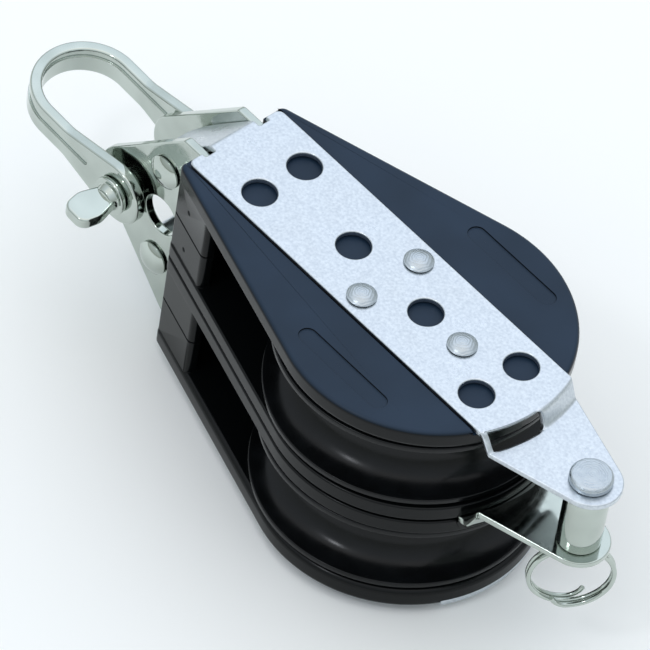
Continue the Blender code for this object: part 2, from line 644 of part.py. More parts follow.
# -------------------------------------------------------------------------- becket
def make_becket(steel, block):
    seat = UPPER_ARM_TOP + FIT
    top = seat + BECKET_HEAD_HEIGHT
    profile = [(0, top), (BECKET_HEAD_RADIUS * 0.6, top - 0.1 * mm), (BECKET_HEAD_RADIUS * 0.88, top - 0.35 * mm),
               (BECKET_HEAD_RADIUS, top - 0.8 * mm), (BECKET_HEAD_RADIUS, seat), (BECKET_PIN_RADIUS, seat),
               (BECKET_PIN_RADIUS, BECKET_PIN_END + BECKET_PIN_CHAMFER),
               (BECKET_PIN_RADIUS - BECKET_PIN_CHAMFER, BECKET_PIN_END),
               (0, BECKET_PIN_END)]
    pin = add_object("becket_pin", turned(profile, 24), steel, block, (BECKET_X, 0, 0))
    hole = turn_to_y(cylinder(0, 0, RING_HOLE_RADIUS, -5 * mm, 5 * mm))
    bmesh.ops.rotate(hole, verts=hole.verts, matrix=Matrix.Rotation(RING_HEADING - math.pi / 2, 3, "Z"))
    bmesh.ops.translate(hole, verts=hole.verts, vec=(0, 0, RING_HOLE_Z))
    combine(pin, hole, "DIFFERENCE", "ring_hole")

    low, high = LOWER_ARM_TOP + FIT, UPPER_ARM_TOP - STRAP_THICKNESS - FIT
    bore = BECKET_PIN_RADIUS + FIT
    bush = [(bore, high), (BUSH_RADIUS, high), (BUSH_RADIUS, low), (bore, low)]
    add_object("becket_bush", turned(bush, 24), steel, block, (BECKET_X, 0, 0))


def make_split_ring(steel, block):
    """Two close turns of wire that hang from the hole in the becket pin."""
    turns, per_turn = 2.12, 24
    count = int(turns * per_turn)
    path = bpy.data.curves.new("split_ring", "CURVE")
    path.dimensions = "3D"
    path.bevel_depth = RING_WIRE_RADIUS
    path.bevel_resolution = 2
    path.use_fill_caps = True
    line = path.splines.new("POLY")
    line.points.add(count)
    for k in range(count + 1):
        turn = (k - count / 2) / per_turn
        angle = 2 * math.pi * turn - math.pi / 2
        across = RING_PITCH * turn
        line.points[k].co = (RING_RADIUS * math.cos(angle), across,
                             RING_RADIUS * (math.sin(angle) - 1), 1)
    ring = bpy.data.objects.new("split_ring", path)
    bpy.context.scene.collection.objects.link(ring)
    path.materials.append(steel)
    ring.parent = block
    ring.location = (BECKET_X, 0, RING_HOLE_Z)
    ring.rotation_euler = (0, 0, RING_HEADING)


def main():
    clear_scene()
    steel = make_material("stainless", (0.72, 0.74, 0.73), 0.18, 1.0)
    black = make_material("cheek_plastic", (0.045, 0.06, 0.085), 0.42, 0.0)
    gloss = make_material("sheave_plastic", (0.015, 0.015, 0.017), 0.2, 0.0)
    alloy = make_material("hub_alloy", (0.45, 0.46, 0.48), 0.35, 1.0)
    white = make_material("ball_plastic", (0.7, 0.68, 0.6), 0.4, 0.0)
    block = bpy.data.objects.new("block", None)
    bpy.context.scene.collection.objects.link(block)
    block.location = (FRAME_X, 0, FRAME_Z)
    make_straps(steel, block)
    make_cheeks(black, block)
    make_sheave_set("upper", 1, gloss, alloy, white, block)
    make_sheave_set("lower", -1, gloss, alloy, white, block)
    make_axle_rivets(steel, block)
    make_lug("lug_near", steel, block, -LUG_OUTER)
    make_lug("lug_far", steel, block, LUG_INNER)
    make_cross_rivets(steel, block)
    make_shackle(steel, block)
    make_becket(steel, block)
    make_split_ring(steel, block)


main()
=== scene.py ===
# %% [markdown]
# # A double sheave block, piece by piece
# A rope block is a stack of plates around two grooved wheels. The frame that is loaded here already
# has every piece at its place and size, so this lesson only makes the surfaces: rounded edges,
# pressed steel, moulded plastic. Each new piece stands for one plain solid and moves with its body.

# %% Load the frame
import json
import math

import bmesh
import bpy
from mathutils import Matrix, Vector


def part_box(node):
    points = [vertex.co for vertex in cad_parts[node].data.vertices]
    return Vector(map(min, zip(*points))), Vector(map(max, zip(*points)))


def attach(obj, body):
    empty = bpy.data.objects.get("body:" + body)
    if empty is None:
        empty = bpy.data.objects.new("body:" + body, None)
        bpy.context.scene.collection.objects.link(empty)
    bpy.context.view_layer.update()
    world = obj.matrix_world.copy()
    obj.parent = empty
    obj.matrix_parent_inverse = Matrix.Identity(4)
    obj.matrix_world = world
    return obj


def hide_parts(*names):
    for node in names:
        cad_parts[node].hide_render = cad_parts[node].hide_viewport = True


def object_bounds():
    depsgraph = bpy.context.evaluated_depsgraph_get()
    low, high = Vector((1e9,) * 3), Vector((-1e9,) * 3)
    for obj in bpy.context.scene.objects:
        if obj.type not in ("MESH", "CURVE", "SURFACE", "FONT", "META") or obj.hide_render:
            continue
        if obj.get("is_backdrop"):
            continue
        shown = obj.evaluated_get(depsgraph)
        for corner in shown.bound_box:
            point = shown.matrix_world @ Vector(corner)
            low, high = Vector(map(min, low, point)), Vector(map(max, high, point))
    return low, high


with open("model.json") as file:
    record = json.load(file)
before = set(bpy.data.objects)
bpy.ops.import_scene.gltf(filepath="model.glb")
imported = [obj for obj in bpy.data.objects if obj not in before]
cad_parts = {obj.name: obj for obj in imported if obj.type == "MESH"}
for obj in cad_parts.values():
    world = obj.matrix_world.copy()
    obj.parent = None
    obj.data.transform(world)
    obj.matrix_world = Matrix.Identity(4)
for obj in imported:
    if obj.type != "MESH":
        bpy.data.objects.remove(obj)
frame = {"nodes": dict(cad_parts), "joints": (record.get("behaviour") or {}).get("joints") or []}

cad_low, cad_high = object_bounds()
print("frame box in mm:", [round(v * 1000, 1) for v in cad_high - cad_low])

# %% [markdown]
# ## Working axes
# It is easier to draw a part in millimetres about its own middle than in metres about the floor.
# The pieces below are drawn with x = 0 on the sheave axis and z = 0 between the two sheaves, and one
# matrix carries a finished mesh into the frame. Places that the frame already knows are read from it.

# %% Millimetres about the middle of the block
MM = 0.001
MERGE = 0.001  # points closer than this, in mm, count as one


def joint_value(name, key):
    """A point or axis that the frame gives for a joint."""
    return Vector(next(j[key] for j in frame["joints"] if j["name"] == name))


def middle_of(node):
    """The middle of a node's box, in the frame."""
    return sum(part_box(node), Vector()) / 2


strap_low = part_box("strap_bottom")[0].z
strap_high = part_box("strap_top")[1].z
ORIGIN = Vector((joint_value("sheave_upper_spin", "pos_m").x, 0, (strap_low + strap_high) / 2))
TO_FRAME = Matrix.Translation(ORIGIN) @ Matrix.Scale(MM, 4)


def own(point):
    """A point of the frame in the block's own millimetres."""
    return (Vector(point) - ORIGIN) / MM


def own_box(node):
    """A node's lowest and highest corner in the block's own millimetres."""
    return [own(corner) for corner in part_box(node)]


STRAP_TOP = own_box("strap_top")[1].z
BECKET_X = own(joint_value("becket_bush_spin", "pos_m")).x
SHACKLE_X = own(joint_value("shackle_swing", "pos_m")).x
SHEAVE_Z = own(joint_value("sheave_upper_spin", "pos_m")).z
print("strap top", round(STRAP_TOP, 2), "becket", round(BECKET_X, 2), "shackle", round(SHACKLE_X, 2))

# %% [markdown]
# ## Materials: one helper for nodes
# A procedural material is a small graph: a texture gives numbers, a ramp or a mix turns them into
# colour or roughness, and the shader takes them. One helper that adds a node, sets it and links it
# keeps each recipe short enough to read. Colours are written as sRGB hex, as in any paint program,
# and turned to the linear values that light is added up in.

# %% Colour and node helpers


def linear(code):
    """An sRGB hex colour as linear red, green, blue and alpha."""
    parts = [int(code[i:i + 2], 16) / 255 for i in (1, 3, 5)]
    return [p / 12.92 if p <= 0.04045 else ((p + 0.055) / 1.055) ** 2.4 for p in parts] + [1.0]


def add_node(tree, kind, links=None, **settings):
    """Adds a node. A setting is a property or an input's name; links maps an input to a source."""
    node = tree.nodes.new(kind)
    for key, value in settings.items():
        if hasattr(node, key):
            setattr(node, key, value)
        else:
            node.inputs[key.replace("_", " ")].default_value = value
    for key, source in (links or {}).items():
        tree.links.new(source, node.inputs[key])
    return node


def new_material(name, **settings):
    """A material with a Principled shader, and its Object coordinates."""
    material = bpy.data.materials.new(name)
    material.use_nodes = True
    tree = material.node_tree
    shader = tree.nodes["Principled BSDF"]
    for key, value in settings.items():
        shader.inputs[key.replace("_", " ")].default_value = value
    place = add_node(tree, "ShaderNodeTexCoord").outputs["Object"]
    return material, tree, shader, place


def noise(tree, vector, size, detail):
    """Noise whose blotches are this many millimetres across."""
    return add_node(tree, "ShaderNodeTexNoise", {"Vector": vector}, Scale=1 / (size * MM),
                    Detail=detail).outputs["Fac"]


def spread(tree, source, low, high):
    """Maps a texture's 0.3 to 0.7, where noise mostly lies, to the range low to high."""
    mapped = add_node(tree, "ShaderNodeMapRange", {"Value": source}, From_Min=0.3, From_Max=0.7,
                      To_Min=low, To_Max=high)
    return mapped.outputs["Result"]


def two_tone(tree, source, dark, light):
    """Mixes two hex colours by a texture value."""
    ramp = add_node(tree, "ShaderNodeValToRGB", {"Fac": source})
    ramp.color_ramp.elements[0].position = 0.3
    ramp.color_ramp.elements[0].color = linear(dark)
    ramp.color_ramp.elements[1].position = 0.7
    ramp.color_ramp.elements[1].color = linear(light)
    return ramp.outputs["Color"]


def ring_scale(spacing):
    """Wave texture scale for rings this many millimetres apart. A wave repeats every pi / 10."""
    return math.pi / (10 * spacing * MM)


def dress(tree, shader, colour, rough, height=None, strength=0.0, depth=0.0):
    """Links colour and roughness to the shader, and a relief that is depth millimetres deep."""
    tree.links.new(colour, shader.inputs["Base Color"])
    tree.links.new(rough, shader.inputs["Roughness"])
    if height is not None:
        relief = add_node(tree, "ShaderNodeBump", {"Height": height}, Strength=strength,
                          Distance=depth * MM)
        tree.links.new(relief.outputs["Normal"], shader.inputs["Normal"])


# %% [markdown]
# ## Stainless steel, three ways
# All the metal is 316 stainless, and its finish tells how each piece was made. The flat straps were
# tumbled after pressing, so they are satin and mottled. The shackle, lugs and bush were polished,
# so they mirror the room with small ripples. Rivet heads were spun down, which leaves fine rings.
# The metal colour differs little, but polished steel is darker and greener than the satin sheet,
# a painted reflection of a grey-green floor. Otherwise only roughness and relief change.

# %% Steel materials


def tumbled_steel():
    """Satin sheet: cloudy roughness 8 mm across and a peened grain of half a millimetre."""
    material, tree, shader, place = new_material("tumbled_stainless_sheet", Metallic=1.0)
    cloud = noise(tree, place, 8, 3.0)
    grain = noise(tree, place, 0.55, 3.0)
    colour = two_tone(tree, grain, "#C0C7CE", "#D6DCE1")
    rough = spread(tree, cloud, 0.26, 0.36)
    dress(tree, shader, colour, rough, grain, 0.30, 0.05)
    return material


def polished_steel():
    """Buffed bar and plate: mirror-like, with soft ripples 6 mm long and faint wipe marks."""
    material, tree, shader, place = new_material("polished_stainless", Metallic=1.0)
    ripple = noise(tree, place, 6, 1.0)
    wipe = noise(tree, place, 1.2, 4.0)
    # Steel grey tinted darker and green-grey: a painted reflection of a grey-green floor.
    colour = two_tone(tree, ripple, "#B3BBB4", "#C0C8C1")
    rough = spread(tree, wipe, 0.06, 0.12)
    dress(tree, shader, colour, rough, ripple, 0.25, 0.12)
    return material


def spun_steel(centre):
    """A rivet head: rings 0.5 mm apart about its own axis, from the tool that formed it."""
    material, tree, shader, place = new_material("spun_stainless_head", Metallic=1.0)
    moved = add_node(tree, "ShaderNodeMapping", {"Vector": place}, Location=-Vector(centre))
    dent = noise(tree, moved.outputs["Vector"], 1.4, 2.0)
    colour = two_tone(tree, dent, "#B0B8BE", "#C0C8CE")
    rough = spread(tree, dent, 0.24, 0.36)
    rings = add_node(tree, "ShaderNodeTexWave", {"Vector": moved.outputs["Vector"]},
                     wave_type="RINGS", rings_direction="Z", Distortion=7.0, Scale=ring_scale(0.5))
    height = add_node(tree, "ShaderNodeMath", {0: rings.outputs["Fac"], 1: dent},
                      operation="ADD")
    dress(tree, shader, colour, rough, height.outputs["Value"], 0.35, 0.08)
    return material


SATIN = tumbled_steel()
POLISHED = polished_steel()
print("steel finishes:", SATIN.name, POLISHED.name)

# %% [markdown]
# ## Plastics
# The cheeks are moulded from black glass-filled nylon with a fine grain. A mask picks out the outer
# faces by height and by slope, where they face up or down, and paints them slate blue as a painted
# sky sheen. It also makes them rougher, while walls and inner faces stay black and smoother. The
# sheaves are acetal turned on a lathe: darker, with rings too fine to see one by one that still draw
# highlights out along the groove. The hubs are turned alloy and the balls ivory acetal.

# %% Plastic and bearing materials


def moulded_nylon():
    """Cheek plastic: black, with a painted slate-blue sky sheen and more roughness on outer flat
    faces.
    """
    material, tree, shader, place = new_material("moulded_nylon_painted_sheen", Specular_IOR_Level=0.2)
    cloud = noise(tree, place, 14, 2.0)
    grain = noise(tree, place, 0.35, 3.0)
    # Painted sky sheen: the slate blue that outer flat faces get in place of a reflected bluish sky.
    face = two_tone(tree, cloud, "#1C2C3D", "#223346")
    centred = add_node(tree, "ShaderNodeMapping", {"Vector": place}, Location=-ORIGIN)
    height = add_node(tree, "ShaderNodeSeparateXYZ", {"Vector": centred.outputs["Vector"]})
    away = add_node(tree, "ShaderNodeMath", {0: height.outputs["Z"]}, operation="ABSOLUTE")
    outer = add_node(tree, "ShaderNodeMapRange", {"Value": away.outputs["Value"]},
                     From_Min=23.6 * MM, From_Max=24.4 * MM)
    normal = add_node(tree, "ShaderNodeTexCoord").outputs["Normal"]
    upright = add_node(tree, "ShaderNodeSeparateXYZ", {"Vector": normal})
    level = add_node(tree, "ShaderNodeMath", {0: upright.outputs["Z"]}, operation="ABSOLUTE")
    flat = add_node(tree, "ShaderNodeMapRange", {"Value": level.outputs["Value"]}, From_Min=0.35,
                    From_Max=0.9)
    # Where the painted sky sheen goes: outer heights times faces that face up or down.
    painted_sheen_mask = add_node(tree, "ShaderNodeMath", {0: outer.outputs["Result"],
                                                1: flat.outputs["Result"]}, operation="MULTIPLY")
    colour = add_node(tree, "ShaderNodeMix", {"Factor": painted_sheen_mask.outputs["Value"]},
                      data_type="RGBA")
    colour.inputs["A"].default_value = linear("#07090A")
    tree.links.new(face, colour.inputs["B"])
    rough = add_node(tree, "ShaderNodeMapRange", {"Value": painted_sheen_mask.outputs["Value"]}, To_Min=0.2,
                     To_Max=0.4)
    dress(tree, shader, colour.outputs["Result"], rough.outputs["Result"], grain, 0.12, 0.04)
    return material


def turned_acetal(axis_point):
    """Sheave plastic: gloss black with lathe rings 0.6 mm apart about the sheave axis."""
    material, tree, shader, place = new_material("turned_black_acetal", Specular_IOR_Level=0.25)
    moved = add_node(tree, "ShaderNodeMapping", {"Vector": place}, Location=-axis_point)
    scuff = noise(tree, place, 5, 4.0)
    colour = two_tone(tree, scuff, "#08090A", "#0D0F11")
    rough = spread(tree, scuff, 0.17, 0.27)
    rings = add_node(tree, "ShaderNodeTexWave", {"Vector": moved.outputs["Vector"]},
                     bands_direction="Z", Distortion=0.4, Scale=ring_scale(0.6))
    dress(tree, shader, colour, rough, rings.outputs["Fac"], 0.05, 0.02)
    return material


def turned_alloy():
    """Hub metal: dull grey with fine turning marks."""
    material, tree, shader, place = new_material("turned_alloy", Metallic=1.0)
    marks = noise(tree, place, 0.8, 3.0)
    colour = two_tone(tree, marks, "#8E9296", "#A3A7AB")
    dress(tree, shader, colour, spread(tree, marks, 0.3, 0.45))
    return material


def ivory_acetal():
    """Ball and cage plastic: waxy, with a faint mottle."""
    material, tree, shader, place = new_material("ivory_acetal", IOR=1.48)
    mottle = noise(tree, place, 2, 2.0)
    colour = two_tone(tree, mottle, "#CFC8B4", "#DAD4C2")
    dress(tree, shader, colour, spread(tree, mottle, 0.3, 0.4))
    return material


NYLON = moulded_nylon()
ACETAL = turned_acetal(ORIGIN)
for level in ("upper", "lower"):
    for node, material in ((f"hub_{level}", turned_alloy()), (f"balls_{level}", ivory_acetal())):
        frame["nodes"][node].data.materials.clear()
        frame["nodes"][node].data.materials.append(material)
print("plastics:", NYLON.name, ACETAL.name)

# %% [markdown]
# ## Shape helpers
# Nearly every piece here is a plate, a turned part, or one of those with something cut from it. A
# plate is a flat outline with holes that is filled and extruded. A turned part is a section spun
# about an axis. A cut uses an exact Boolean on two closed meshes, done at once, so that no helper
# object stays in the scene.

# %% Outlines, plates and turned parts


def circle(x, y, radius, count=48):
    """Points around a circle."""
    turn = 2 * math.pi / count
    return [(x + radius * math.cos(turn * i), y + radius * math.sin(turn * i))
            for i in range(count)]


def touch_angle(point, radius):
    """Where a line from the point touches a circle about the origin, as an angle."""
    return math.atan2(point.y, point.x) - math.acos(radius / point.length)


def end_arc(x, radius, touch, steps):
    """Points around a round end about (x, 0), from the angle -touch to touch."""
    angles = [touch * (2 * k / steps - 1) for k in range(steps + 1)]
    return [(x + radius * math.cos(a), radius * math.sin(a)) for a in angles]


def filleted(corners, steps=8):
    """An outline from (x, y, radius) corners, each rounded by an arc of that radius."""
    outline = []
    for i, (x, y, radius) in enumerate(corners):
        corner = Vector((x, y))
        back = (Vector(corners[i - 1][:2]) - corner).normalized()
        ahead = (Vector(corners[(i + 1) % len(corners)][:2]) - corner).normalized()
        if radius == 0:
            outline.append((x, y))
            continue
        half = back.angle(ahead) / 2
        centre = corner + (back + ahead).normalized() * radius / math.sin(half)
        start = corner + back * radius / math.tan(half) - centre
        end = corner + ahead * radius / math.tan(half) - centre
        sweep = start.angle_signed(end)
        for k in range(steps + 1):
            point = centre + Matrix.Rotation(-sweep * k / steps, 2) @ start
            outline.append((point.x, point.y))
    return outline


def add_loop(bm, points, height=0.0):
    """A closed ring of edges through the points."""
    ring = [bm.verts.new((x, y, height)) for x, y in points]
    return [bm.edges.new((ring[i - 1], ring[i])) for i in range(len(ring))]


def filled(bm, outline, holes=(), height=0.0):
    """Fills an outline and leaves its holes open."""
    edges = add_loop(bm, outline, height)
    for hole in holes:
        edges += add_loop(bm, hole, height)
    made = bmesh.ops.triangle_fill(bm, edges=edges, use_beauty=True, normal=(0, 0, 1))["geom"]
    inner = [g for g in made if isinstance(g, bmesh.types.BMEdge)]
    bmesh.ops.dissolve_limit(bm, angle_limit=0.001, edges=inner, delimit=set())


def plate(outline, low, high, holes=()):
    """A closed plate: the filled outline, extruded from one height to another."""
    bm = bmesh.new()
    filled(bm, outline, holes, low)
    region = bmesh.ops.extrude_face_region(bm, geom=bm.faces[:])
    raised = [g for g in region["geom"] if isinstance(g, bmesh.types.BMVert)]
    bmesh.ops.translate(bm, verts=raised, vec=(0, 0, high - low))
    bmesh.ops.recalc_face_normals(bm, faces=bm.faces)
    return bm


def turned(section, segments=96):
    """A closed section of (radius, height) points, spun once around the z axis."""
    bm = bmesh.new()
    ring = [bm.verts.new((r, 0, z)) for r, z in section]
    edges = [bm.edges.new((ring[i - 1], ring[i])) for i in range(len(ring))]
    bmesh.ops.spin(bm, geom=ring + edges, cent=(0, 0, 0), axis=(0, 0, 1),
                   angle=2 * math.pi, steps=segments, use_merge=True)
    bmesh.ops.remove_doubles(bm, verts=bm.verts, dist=0.0005)
    bmesh.ops.recalc_face_normals(bm, faces=bm.faces)
    return bm


def rounded_section(corners, steps=5):
    """A section whose corners carry a radius, ready to be spun."""
    return [(max(r, 0.0), z) for r, z in filleted(corners, steps)]


# %% Moving, bevelling and cutting


def moved(bm, matrix):
    """The same bmesh after a transform."""
    bmesh.ops.transform(bm, matrix=matrix, verts=bm.verts)
    return bm


def bevelled(bm, width, segments, keep):
    """Rounds the edges that keep(edge) picks."""
    edges = [e for e in bm.edges if len(e.link_faces) == 2 and keep(e)]
    bmesh.ops.bevel(bm, geom=edges, offset=width, segments=segments, affect="EDGES",
                    profile=0.5, material=-1)
    return bm


def is_sharp(edge):
    """True where two faces meet at more than a round stretch's small angle."""
    return edge.calc_face_angle(0) > math.radians(50)


def at_height(height):
    """Picks the sharp edges that lie in one horizontal plane."""
    def keep(edge):
        return is_sharp(edge) and all(abs(v.co.z - height) < MERGE for v in edge.verts)
    return keep


def loose_object(bm):
    """A short-lived object around a bmesh."""
    mesh = bpy.data.meshes.new("loose")
    bm.to_mesh(mesh)
    bm.free()
    item = bpy.data.objects.new("loose", mesh)
    bpy.context.scene.collection.objects.link(item)
    return item


def combined(bm, tool, operation="DIFFERENCE"):
    """Cuts tool from bm, or joins it on, with an exact Boolean."""
    body, cutter = loose_object(bm), loose_object(tool)
    modifier = body.modifiers.new("combine", "BOOLEAN")
    modifier.operation = operation
    modifier.object = cutter
    modifier.solver = "EXACT"
    bpy.context.view_layer.update()
    result = bmesh.new()
    result.from_object(body, bpy.context.evaluated_depsgraph_get())
    for item in (body, cutter):
        mesh = item.data
        bpy.data.objects.remove(item)
        bpy.data.meshes.remove(mesh)
    bmesh.ops.remove_doubles(result, verts=result.verts, dist=0.0005)
    return result


# %% Turning a bmesh into a piece


def finish_piece(name, bm, material, body, thickness=0.0, edge=0.0, rings=False):
    """Makes the object, in the frame, riding on its body and standing for the node it is named for.

    thickness turns a sheet into plate, edge rounds what is still sharp, and rings keeps a turned
    part's own creases. Flat pieces get area-weighted normals, so that flats stay flat.
    """
    node = name.removesuffix("_fine")
    bmesh.ops.transform(bm, matrix=TO_FRAME, verts=bm.verts)
    mesh = bpy.data.meshes.new(name)
    bm.to_mesh(mesh)
    bm.free()
    mesh.shade_smooth()
    mesh.materials.append(material)
    piece = bpy.data.objects.new(name, mesh)
    bpy.context.scene.collection.objects.link(piece)
    if thickness:
        wall = piece.modifiers.new("thickness", "SOLIDIFY")
        wall.thickness = thickness * MM
        wall.offset = -1
        wall.use_even_offset = True
    if edge:
        rounding = piece.modifiers.new("edges", "BEVEL")
        rounding.width = edge * MM
        rounding.segments = 3
        rounding.limit_method = "ANGLE"
        rounding.angle_limit = math.radians(50)
        rounding.use_clamp_overlap = False
    if rings:
        mesh.set_sharp_from_angle(angle=math.radians(40))
    else:
        flats = piece.modifiers.new("flat_normals", "WEIGHTED_NORMAL")
        flats.weight = 100
    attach(piece, body)
    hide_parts(node)
    box = [round(d * 1000, 1) for d in piece.dimensions]
    print(name, "rides on", body, "with", len(mesh.polygons), "faces", box)
    return piece


# %% [markdown]
# ## The straps
# A strap is one strip of 1.3 mm sheet, punched and pressed: a tongue bent down between the lugs at
# the head, round holes, and at the tail a curved step down to the becket arm. A flat fill suits the
# punched part and a grid suits the curved step, so the sheet is made as three patches that share
# their edge points, merged, and given its thickness last, as the press would have it.

# %% Strap sizes and the curved step
STRAP_THICKNESS = 1.3
STRAP_HALF = 11.5
STRAP_HEAD_X = -54.4
STRAP_CORNER = 1.4
STRAP_HOLE_RADIUS = 3.41
HOLE_PITCH = 20.3
HOLE_PAIR_Y = 5.63
RIVET_HOLE_RADIUS = 1.9
PIN_BORE = 2.65
NOTCH_DEPTH = 1.0
NOTCH_OUTER = 8.0
TAB_HALF = 5.5
TAB_LENGTH = 19.0
TAB_ANGLE = math.radians(45)
TAB_BEND_RADIUS = 1.6
CREASE_X = -47.2
CREASE_ANGLE = math.radians(0.7)
PLAIN_TAIL = 28.9
STEP_START = 29.9
STEP_END = 32.5
ARM_ROOT_HALF = 11.1
ARM_END_RADIUS = 6.2
SLOT_START = math.radians(-19)
SLOT_END = math.radians(3)
SLOT_END_ROUND = 0.09
STEP_ROWS = 10
SLOT_ROWS = (1, 9)
COLUMNS_BEFORE = 2
COLUMNS_SLOT = 14
COLUMNS_AFTER = 14
RIVETS = {node: own(middle_of(node)) for node in
          ("axle_rivet_head_near", "axle_rivet_head_far", "axle_rivet_tail")}
HOLES = [(-2 * HOLE_PITCH, -HOLE_PAIR_Y), (-2 * HOLE_PITCH, HOLE_PAIR_Y), (-HOLE_PITCH, 0.0),
         (0.0, 0.0), (HOLE_PITCH, -HOLE_PAIR_Y), (HOLE_PITCH, HOLE_PAIR_Y)]


def step_half(t):
    """Half width of the strap across the step, t going from 0 at its start to 1 at its end."""
    return STRAP_HALF + (ARM_ROOT_HALF - STRAP_HALF) * t


def step_columns():
    """Shares of the half width where the step's columns lie, with two at the slot's ends."""
    middle = (STEP_START + STEP_END) / 2
    full = math.asin(step_half(0.5) / middle)
    first, last = SLOT_START / full, SLOT_END / full
    before = [-1 + (first + 1) * k / COLUMNS_BEFORE for k in range(COLUMNS_BEFORE)]
    along = [first + (last - first) * k / COLUMNS_SLOT for k in range(COLUMNS_SLOT)]
    after = [last + (1 - last) * k / COLUMNS_AFTER for k in range(COLUMNS_AFTER + 1)]
    return before + along + after


def step_point(share, t, height, drop):
    """A point of the step: round about the sheave axis in plan, an S curve in height."""
    reach = STEP_START + (STEP_END - STEP_START) * t
    angle = share * math.asin(step_half(t) / reach)
    return Vector((reach * math.cos(angle), reach * math.sin(angle),
                   height - drop * t * t * (3 - 2 * t)))


def add_step(bm, height, drop, slotted):
    """The curved step as a grid, with the slot's cells left out and its end rounded."""
    shares = step_columns()
    columns = len(shares) - 1
    grid = bmesh.ops.create_grid(bm, x_segments=columns, y_segments=STEP_ROWS, size=1.0)
    cell = {}
    for vert in grid["verts"]:
        i = round((vert.co.x + 1) / 2 * columns)
        j = round((vert.co.y + 1) / 2 * STEP_ROWS)
        cell[vert] = (i, j)
        t = j / STEP_ROWS
        share = shares[i]
        end_column = COLUMNS_BEFORE + COLUMNS_SLOT
        if slotted and i == end_column and SLOT_ROWS[0] <= j <= SLOT_ROWS[1]:
            half = (SLOT_ROWS[1] - SLOT_ROWS[0]) / 2
            off = (j - SLOT_ROWS[0] - half) / half
            share -= SLOT_END_ROUND * (1 - math.sqrt(1 - off * off))
        vert.co = step_point(share, t, height, drop)
    if slotted:
        inside = [f for f in bm.faces
                  if all(v in cell
                         and COLUMNS_BEFORE <= cell[v][0] <= COLUMNS_BEFORE + COLUMNS_SLOT
                         and SLOT_ROWS[0] <= cell[v][1] <= SLOT_ROWS[1] for v in f.verts)]
        bmesh.ops.delete(bm, geom=inside, context="FACES")


def arc_row(t):
    """The step's first or last row in plan, from the near side to the far side."""
    return [tuple(step_point(share, t, 0, 0)[:2]) for share in step_columns()]


# %% The strap's flat patches and its tongue


def head_outline(arm):
    """The flat part: notched head, rounded corners, and an arc at the tail where it ends."""
    inner_x = STRAP_HEAD_X + NOTCH_DEPTH
    shrink = 1.0 if arm else PLAIN_TAIL / STEP_START
    tail = [(math.copysign(math.sqrt((STEP_START * shrink) ** 2 - y * y), x), y, 0)
            for x, y in arc_row(0)]
    far = [(STRAP_HEAD_X, STRAP_HALF, STRAP_CORNER), (STRAP_HEAD_X, NOTCH_OUTER, 0.3),
           (inner_x, NOTCH_OUTER, 0.3), (inner_x, TAB_HALF, 0.3), (STRAP_HEAD_X, TAB_HALF, 0)]
    near = [(x, -y, r) for x, y, r in reversed(far)]
    return filleted(tail + far + near, steps=6)


def arm_outline():
    """The becket arm: straight sides that run smoothly into a round end."""
    root = arc_row(1)
    touch = touch_angle(Vector(root[-1]) - Vector((BECKET_X, 0)), ARM_END_RADIUS)
    return list(reversed(root)) + end_arc(BECKET_X, ARM_END_RADIUS, touch, 40)


def add_tongue(bm, height):
    """Extrudes the edge between the notches down around the bend and along the slope."""
    root = [e for e in bm.edges
            if all(abs(v.co.x - STRAP_HEAD_X) < MERGE and abs(v.co.y) < TAB_HALF + MERGE
                   for v in e.verts)]
    bend_steps = 5
    lengths = [TAB_LENGTH * share for share in (0.5, 0.8, 0.93, 1.0)]
    widths = [1.0, 0.9, 0.7, 0.45]
    stops = [(TAB_ANGLE * k / bend_steps, 0.0, 1.0) for k in range(1, bend_steps + 1)]
    stops += [(TAB_ANGLE, length, width) for length, width in zip(lengths, widths)]
    for angle, length, width in stops:
        grown = bmesh.ops.extrude_edge_only(bm, edges=root)["geom"]
        root = [g for g in grown if isinstance(g, bmesh.types.BMEdge)]
        x = STRAP_HEAD_X - TAB_BEND_RADIUS * math.sin(angle) - length * math.cos(angle)
        z = height - TAB_BEND_RADIUS * (1 - math.cos(angle)) - length * math.sin(angle)
        for vert in (g for g in grown if isinstance(g, bmesh.types.BMVert)):
            vert.co = (x, math.copysign(TAB_HALF * width, vert.co.y), z)


def make_strap(height, drop=0.0, holes=(), slotted=False, tongue=False, arm=True):
    """One strap as a sheet at its upper face. Drop is how far the arm lies below it."""
    bm = bmesh.new()
    punched = [circle(x, y, STRAP_HOLE_RADIUS) for x, y in holes]
    punched += [circle(p.x, p.y, RIVET_HOLE_RADIUS, 24) for p in RIVETS.values()]
    filled(bm, head_outline(arm), punched, height)
    if arm:
        add_step(bm, height, drop, slotted)
        filled(bm, arm_outline(), [circle(BECKET_X, 0, PIN_BORE, 32)], height - drop)
    if tongue:
        add_tongue(bm, height)
    bmesh.ops.remove_doubles(bm, verts=bm.verts, dist=MERGE)
    bmesh.ops.bisect_plane(bm, geom=bm.verts[:] + bm.edges[:] + bm.faces[:],
                           plane_co=(CREASE_X, 0, 0), plane_no=(1, 0, 0))
    if tongue:
        for vert in bm.verts:
            vert.co.z -= max(CREASE_X - vert.co.x, 0) * math.tan(CREASE_ANGLE)
    bmesh.ops.recalc_face_normals(bm, faces=bm.faces)
    if sum(f.normal.z * f.calc_area() for f in bm.faces) < 0:
        bmesh.ops.reverse_faces(bm, faces=bm.faces)
    return bm


